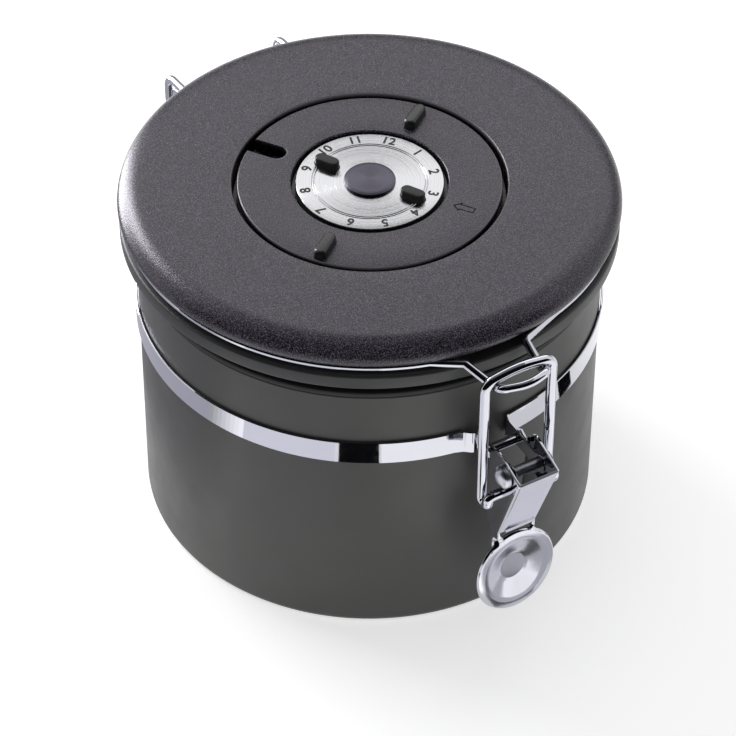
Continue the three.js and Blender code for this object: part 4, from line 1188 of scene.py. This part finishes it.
def bar_bmesh(length, width, low, high, ease, slant=0.0):
    """A grip bar with round ends, walls that lean in a little and an eased flat top."""
    layers = [(low, 0.0), (high - ease, slant)]
    for k in range(1, 7):
        turn = math.pi / 2 * k / 6
        layers.append((high - ease * (1 - math.sin(turn)), slant + ease * (1 - math.cos(turn))))
    rings = []
    for height, inset in layers:
        outline = stadium(length - 2 * inset, width - 2 * inset)
        rings.append([(x, y, height) for x, y in outline])
    return swept_bmesh(rings)


def pair_of(bm, degrees, reach, material):
    """Two copies opposite each other, as a bmesh."""
    return loose(EVEN_TURNS.grow(moved(bm, at_angle(reach, degrees)), {"Copies": 2}, material))


def pointer_strokes():
    """Cutters for a small hollow arrow that points at the middle of the dial."""
    mark = [(2.8, -0.9), (-1.2, -0.9), (-1.2, -1.5), (-2.8, 0), (-1.2, 1.5), (-1.2, 0.9), (2.8, 0.9)]
    half = 0.17
    strokes = []
    for a, b in zip(mark, mark[1:] + mark[:1]):
        a, b = Vector(a), Vector(b)
        run = (b - a).normalized() * half
        side = Vector((-run.y, run.x))
        corners = (a - run - side, b + run - side, b + run + side, a - run + side)
        strokes.append(moved(raised_bmesh(corners, RING_TOP - 0.4, RING_TOP + 1), at_angle(*POINTER)))
    return strokes


def make_day_ring():
    corners = [
        (4.1, 98.9, 0.2), (22.3, 98.9, 0.3), (22.3, 101.3, 0.3), (33.3, 101.3, 0.3), (33.3, 98.9, 0.2),
        (RING_OUTER, 98.9, 0.2), (RING_OUTER, RING_TOP, 0.4), (20.7, RING_TOP, 0.45), (20.7, 100.3, 0.3),
        (4.1, 100.3, 0.2),
    ]
    length = RING_OUTER - SLOT_START + SLOT_WIDTH
    slot = raised_bmesh(stadium(length, SLOT_WIDTH, 24), 96, 106)
    slot = moved(slot, at_angle(SLOT_START + length / 2, SLOT_ANGLE))
    blank = plain(cut(eased_bmesh(corners, 192), [slot, *pointer_strokes()]))
    round_edges(blank, 0.25, 60)
    ring = finished("outer_dial", loose(settled(blank)), GRAINED, 40)
    piece_of(ring, "day_dial", "grained_plastic", "day_ring")
    ribs = [moved(bar_bmesh(9.8, 4.0, RING_TOP - 0.5, RING_TOP + 2.4, 0.8, 0.35), at_angle(*rib)) for rib in RIBS]
    piece_of(finished("dial_ribs", joined(*ribs), RIB_PLASTIC, 40), "day_dial", "grained_plastic")


def make_month_dial():
    corners = [
        (0, 95.3, 0), (4.0, 95.3, 0.2), (4.0, 100.6, 0.2), (19.4, 100.6, 0.2), (19.4, 102.2, 0.2), (0, 102.2, 0),
    ]
    body = eased_bmesh(corners, 128)
    knobs = pair_of(bar_bmesh(7.2, 3.7, 101.5, 105.2, 0.5, 0.15), KNOB_ANGLE, KNOB_REACH, KNOB_PLASTIC)
    carrier = finished("inner_dial", joined(body, knobs), KNOB_PLASTIC, 40)
    piece_of(carrier, "month_dial", "dark_plastic", "month_carrier")
    grooves = []
    for radius in FACE_CIRCLES:
        bottom = FACE_TOP - 0.16
        grooves += [(radius + 0.16, FACE_TOP, 0.03), (radius + 0.04, bottom, 0.02)]
        grooves += [(radius - 0.04, bottom, 0.02), (radius - 0.16, FACE_TOP, 0.03)]
    corners = [(0, FACE_LOW, 0), (19.5, FACE_LOW, 0.1), (19.5, FACE_TOP, 0.25)] + grooves + [(0, FACE_TOP, 0)]
    holes = []
    for turn in (0, 180):
        holes.append(moved(raised_bmesh(stadium(7.4, 3.9, 20), 101, 104), at_angle(KNOB_REACH, KNOB_ANGLE + turn)))
    face = smoothed("number_face", cut(eased_bmesh(corners, 192, 3), holes), SPUN_FACE, 30)
    piece_of(face, "month_dial", "brushed_metal", "month_face")
    months = [str(n) for n in (MONTHS, *range(1, MONTHS))]
    words = words_growth("month_numbers", months, TWELVE_ANGLE, -360 / MONTHS)
    sizes = {"Letter Size": 0.0039, "Stroke": 0.0001, "Ring Radius": 0.0172, "Raise": 0.00004, "Height": FACE_TOP * MM}
    numbers = words.grow(bpy.data.meshes.new("numbers"), sizes, DARK_INK)
    piece_of(smoothed("month_numbers", numbers, DARK_INK), "month_dial", "brushed_metal")
    badge = [(0, 103.1, 0), (6.8, 103.1, 0.08), (6.8, 103.75, 0.25), (5.9, 103.95, 0.6), (0, 104.0, 0)]
    piece_of(turned("centre_cover", badge, SPUN_BADGE, 128), "month_dial", "dark_plastic", "dial_badge")
    washer = [(1.6, 94.2, 0.05), (7.0, 94.2, 0.2), (7.0, 95.2, 0.2), (1.6, 95.2, 0.05)]
    piece_of(turned("screw_washer", washer, PLAIN_STEEL, 96), "month_dial", "brushed_metal", "dial_washer")
    corners = [
        (0, 92.3, 0), (2.4, 92.3, 0.4), (3.4, 93.2, 0.4), (3.4, 94.1, 0.15), (1.5, 94.1, 0.1), (1.5, 99.3, 0.3),
        (0, 99.3, 0),
    ]
    cross = []
    for x, y in ((1.7, 0.35), (0.35, 1.7)):
        cross.append(raised_bmesh([(-x, -y), (x, -y), (x, y), (-x, y)], 91, 93.4))
    screw = smoothed("centre_screw", cut(eased_bmesh(corners, 64), cross), PLAIN_STEEL, 30)
    piece_of(screw, "month_dial", "brushed_metal", "dial_screw")


def make_scale():
    ring = [(23.0, 97.7, 0.1), (33.0, 97.7, 0.1), (33.0, 98.4, 0.15), (23.0, 98.4, 0.15)]
    piece_of(turned("scale_ring", ring, FILM, 128), "lid", "scale_film", "date_scale")
    days = [str(n) for n in range(1, DAYS + 1)]
    words = words_growth("day_numbers", days, SLOT_ANGLE + 180 / DAYS, -360 / DAYS)
    sizes = {"Letter Size": 0.0026, "Stroke": 0.00004, "Ring Radius": 0.0290, "Raise": 0.00003, "Height": 0.0984}
    numbers = words.grow(bpy.data.meshes.new("numbers"), sizes, SCALE_INK)
    piece_of(smoothed("day_numbers", numbers, SCALE_INK), "lid", "scale_film")


# Studio

def make_camera():
    data = bpy.data.cameras.new("camera")
    data.lens = CAMERA_LENS
    data.sensor_width = 36
    data.shift_x = CAMERA_SHIFT
    data.clip_start, data.clip_end = 0.05, 20
    camera = linked("camera", data)
    back = direction(CAMERA_AZIMUTH, CAMERA_ELEVATION)
    camera.location = Vector((0, 0, CAMERA_AIM_HEIGHT * MM)) + back * CAMERA_DISTANCE * MM
    turn = (-back).to_track_quat("-Z", "Y").to_matrix().to_4x4() @ Matrix.Rotation(math.radians(CAMERA_ROLL), 4, "Z")
    camera.rotation_euler = turn.to_euler()
    bpy.context.scene.camera = camera


def lamp(name, azimuth, elevation, distance, width, height, power, seen=True):
    """A softbox that faces the object from an azimuth and elevation, in degrees."""
    data = bpy.data.lights.new(name, "AREA")
    data.shape = "RECTANGLE"
    data.size, data.size_y = width, height
    data.energy = power
    light = linked(name, data)
    back = direction(azimuth, elevation)
    light.location = Vector((0, 0, 0.07)) + back * distance
    light.rotation_euler = (-back).to_track_quat("-Z", "Y").to_euler()
    light.visible_glossy = seen


def direction(azimuth, elevation):
    """The way from the object to a camera, lamp or card, as a unit vector."""
    a, e = math.radians(azimuth), math.radians(elevation)
    return Vector((math.sin(a) * math.cos(e), -math.cos(a) * math.cos(e), math.sin(e)))


def card(name, corners, level, shades=False):
    """A studio card, its corners in metres, that only reflections see; with shades on, soft light too."""
    material = bpy.data.materials.new(f"{name}_finish")
    tree = cleared_tree(material)
    output = tree.nodes.new("ShaderNodeOutputMaterial")
    glow = tree.nodes.new("ShaderNodeEmission")
    peak = max(level)
    glow.inputs["Color"].default_value = (*[share / peak for share in level], 1)
    glow.inputs["Strength"].default_value = peak
    tree.links.new(glow.outputs[0], output.inputs[0])
    mesh = bpy.data.meshes.new(name)
    mesh.from_pydata(corners, [], [tuple(range(len(corners)))])
    mesh.materials.append(material)
    board = linked(name, mesh)
    board.visible_camera = False
    board.visible_diffuse = shades
    board.visible_transmission = False
    board.visible_shadow = False


def floor_card(name, start, end, near, far, level):
    """A card lying on the floor, between two azimuths and two distances."""
    angles = [math.radians(start + (end - start) * k / 8) for k in range(9)]
    inner = [(near * math.sin(a), -near * math.cos(a), 0.0008) for a in angles]
    outer = [(far * math.sin(a), -far * math.cos(a), 0.0008) for a in reversed(angles)]
    card(name, inner + outer, level)


def hung_card(name, start, end, low, high, distance, level, shades=False):
    """A card hung between two azimuths and two elevations."""
    corners = [direction(a, e) * distance for a, e in ((start, low), (end, low), (end, high), (start, high))]
    card(name, corners, level, shades)


def curved_card(name, start, end, low, high, distance, level):
    """A curved card at one distance, between two azimuths and two elevations."""
    angles = [start + (end - start) * k / 16 for k in range(17)]
    for k, (a, b) in enumerate(zip(angles, angles[1:])):
        hung_card(f"{name}_{k}", a, b, low, high, distance, level)


def make_cards():
    black = (0.004, 0.004, 0.0045)
    floor_card("strap_flag_front", -41.6, -26.8, 0.118, 0.143, black)
    floor_card("strap_flag_right", 50.6, 59.0, 0.110, 0.150, black)
    floor_card("strap_grey_left", -170, -95, 0.085, 0.6, (0.52, 0.51, 0.57))
    for k in range(8):
        level = 0.55 + 0.9 * k / 7
        floor_card(f"strap_bounce_{k}", -95 + 2 * k, -93 + 2 * k, 0.085, 0.6, (level, level, level))
    floor_card("strap_bounce_left", -79, -43, 0.110, 0.6, (0.98, 0.97, 1.04))
    floor_card("strap_bounce_middle", -26, -14, 0.102, 0.6, (1.35, 1.35, 1.33))
    floor_card("strap_bounce_front", -14, 0, 0.120, 0.6, (1.35, 1.35, 1.33))
    floor_card("strap_bounce_right", 0, 50, 0.142, 0.6, (1.35, 1.35, 1.33))
    floor_card("strap_bounce_near", 0, 50, 0.124, 0.142, (1.5, 1.5, 1.52))
    floor_card("pad_bounce", -14, -1, 0.098, 0.120, (1.9, 1.9, 1.93))
    floor_card("plate_grey", 8, 26, 0.074, 0.09, (0.82, 0.82, 0.88))
    floor_card("pad_grey", 0, 26, 0.097, 0.124, (0.55, 0.55, 0.58))
    floor_card("pad_dark", -1, 9, 0.087, 0.097, (0.12, 0.12, 0.12))
    curved_card("camera_flag", -112, 48, 0.5, 72, 0.8, black)
    curved_card("camera_grey", -62, 4, 34, 58, 0.78, (0.45, 0.45, 0.48))
    curved_card("left_glow", -172, -150, -4, 50, 0.5, (14, 14, 14.4))
    hung_card("soft_flag", -112, 48, 30, 72, 0.82, (0.06, 0.06, 0.06), True)
    hung_card("back_low_card", 95, 205, 2, 22, 0.95, (0.4, 0.4, 0.42))
    card("overhead_card", [(-0.5, -0.5, 1.0), (0.5, -0.5, 1.0), (0.5, 0.5, 1.0), (-0.5, 0.5, 1.0)], (0.2, 0.2, 0.22))


def make_floor():
    """A pale floor that keeps its brightness for the camera and in reflections."""
    mesh = bpy.data.meshes.new("floor")
    half, height = 3.0, -0.0001
    corners = [(x * half, y * half, height) for x, y in ((-1, -1), (1, -1), (1, 1), (-1, 1))]
    mesh.from_pydata(corners, [], [(0, 1, 2, 3)])
    floor = linked("floor", mesh)
    material = bpy.data.materials.new("floor_finish")
    tree = cleared_tree(material)
    output = tree.nodes.new("ShaderNodeOutputMaterial")
    matt = tree.nodes.new("ShaderNodeBsdfDiffuse")
    matt.inputs["Color"].default_value = (0.8, 0.8, 0.8, 1)
    glow = tree.nodes.new("ShaderNodeEmission")
    total = tree.nodes.new("ShaderNodeAddShader")
    tree.links.new(matt.outputs[0], total.inputs[0])
    tree.links.new(glow.outputs[0], total.inputs[1])
    tree.links.new(total.outputs[0], output.inputs[0])
    seen = seen_directly(tree)
    strength = tree.nodes.new("ShaderNodeMath")
    strength.operation = "MULTIPLY"
    tree.links.new(seen, strength.inputs[0])
    strength.inputs[1].default_value = FLOOR_GLOW
    tree.links.new(strength.outputs[0], glow.inputs["Strength"])
    mesh.materials.append(material)


def seen_directly(tree):
    """1 for the camera and for reflections, 0 for light on the object."""
    path = tree.nodes.new("ShaderNodeLightPath")
    share = path.outputs["Is Camera Ray"]
    for label in ("Is Glossy Ray", "Is Transmission Ray"):
        most = tree.nodes.new("ShaderNodeMath")
        most.operation = "MAXIMUM"
        tree.links.new(share, most.inputs[0])
        tree.links.new(path.outputs[label], most.inputs[1])
        share = most.outputs[0]
    return share


def make_world():
    """White for the camera and for reflections, and soft light on the object."""
    world = bpy.data.worlds.new("studio")
    bpy.context.scene.world = world
    tree = cleared_tree(world)
    output = tree.nodes.new("ShaderNodeOutputWorld")
    soft = tree.nodes.new("ShaderNodeBackground")
    soft.inputs["Color"].default_value = (1, 1, 1, 1)
    soft.inputs["Strength"].default_value = WORLD_LIGHT
    white = tree.nodes.new("ShaderNodeBackground")
    white.inputs["Color"].default_value = (1, 1, 1, 1)
    white.inputs["Strength"].default_value = 1.0
    blend = tree.nodes.new("ShaderNodeMixShader")
    tree.links.new(seen_directly(tree), blend.inputs[0])
    tree.links.new(soft.outputs[0], blend.inputs[1])
    tree.links.new(white.outputs[0], blend.inputs[2])
    tree.links.new(blend.outputs[0], output.inputs[0])


make_shell()
make_strap()
make_tie()
make_lever_rivet()
make_bracket()
make_lever()
make_bail()
make_lid_wire()
make_lid_base()
make_gasket()
make_cap()
make_valve()
make_day_ring()
make_month_dial()
make_scale()
make_camera()
make_floor()
make_cards()
make_world()
lamp("back_softbox", 150, 38, 1.2, 1.7, 0.5, 2.3)
lamp("top_softbox", 149, 80, 1.3, 0.8, 0.8, 2.5, seen=False)
lamp("left_softbox", -158, 33, 1.0, 0.5, 0.4, 5, seen=False)
lamp("front_fill", -30, 5, 1.2, 1.4, 0.1, 2.5, seen=False)
bpy.context.scene.view_settings.view_transform = "Standard"
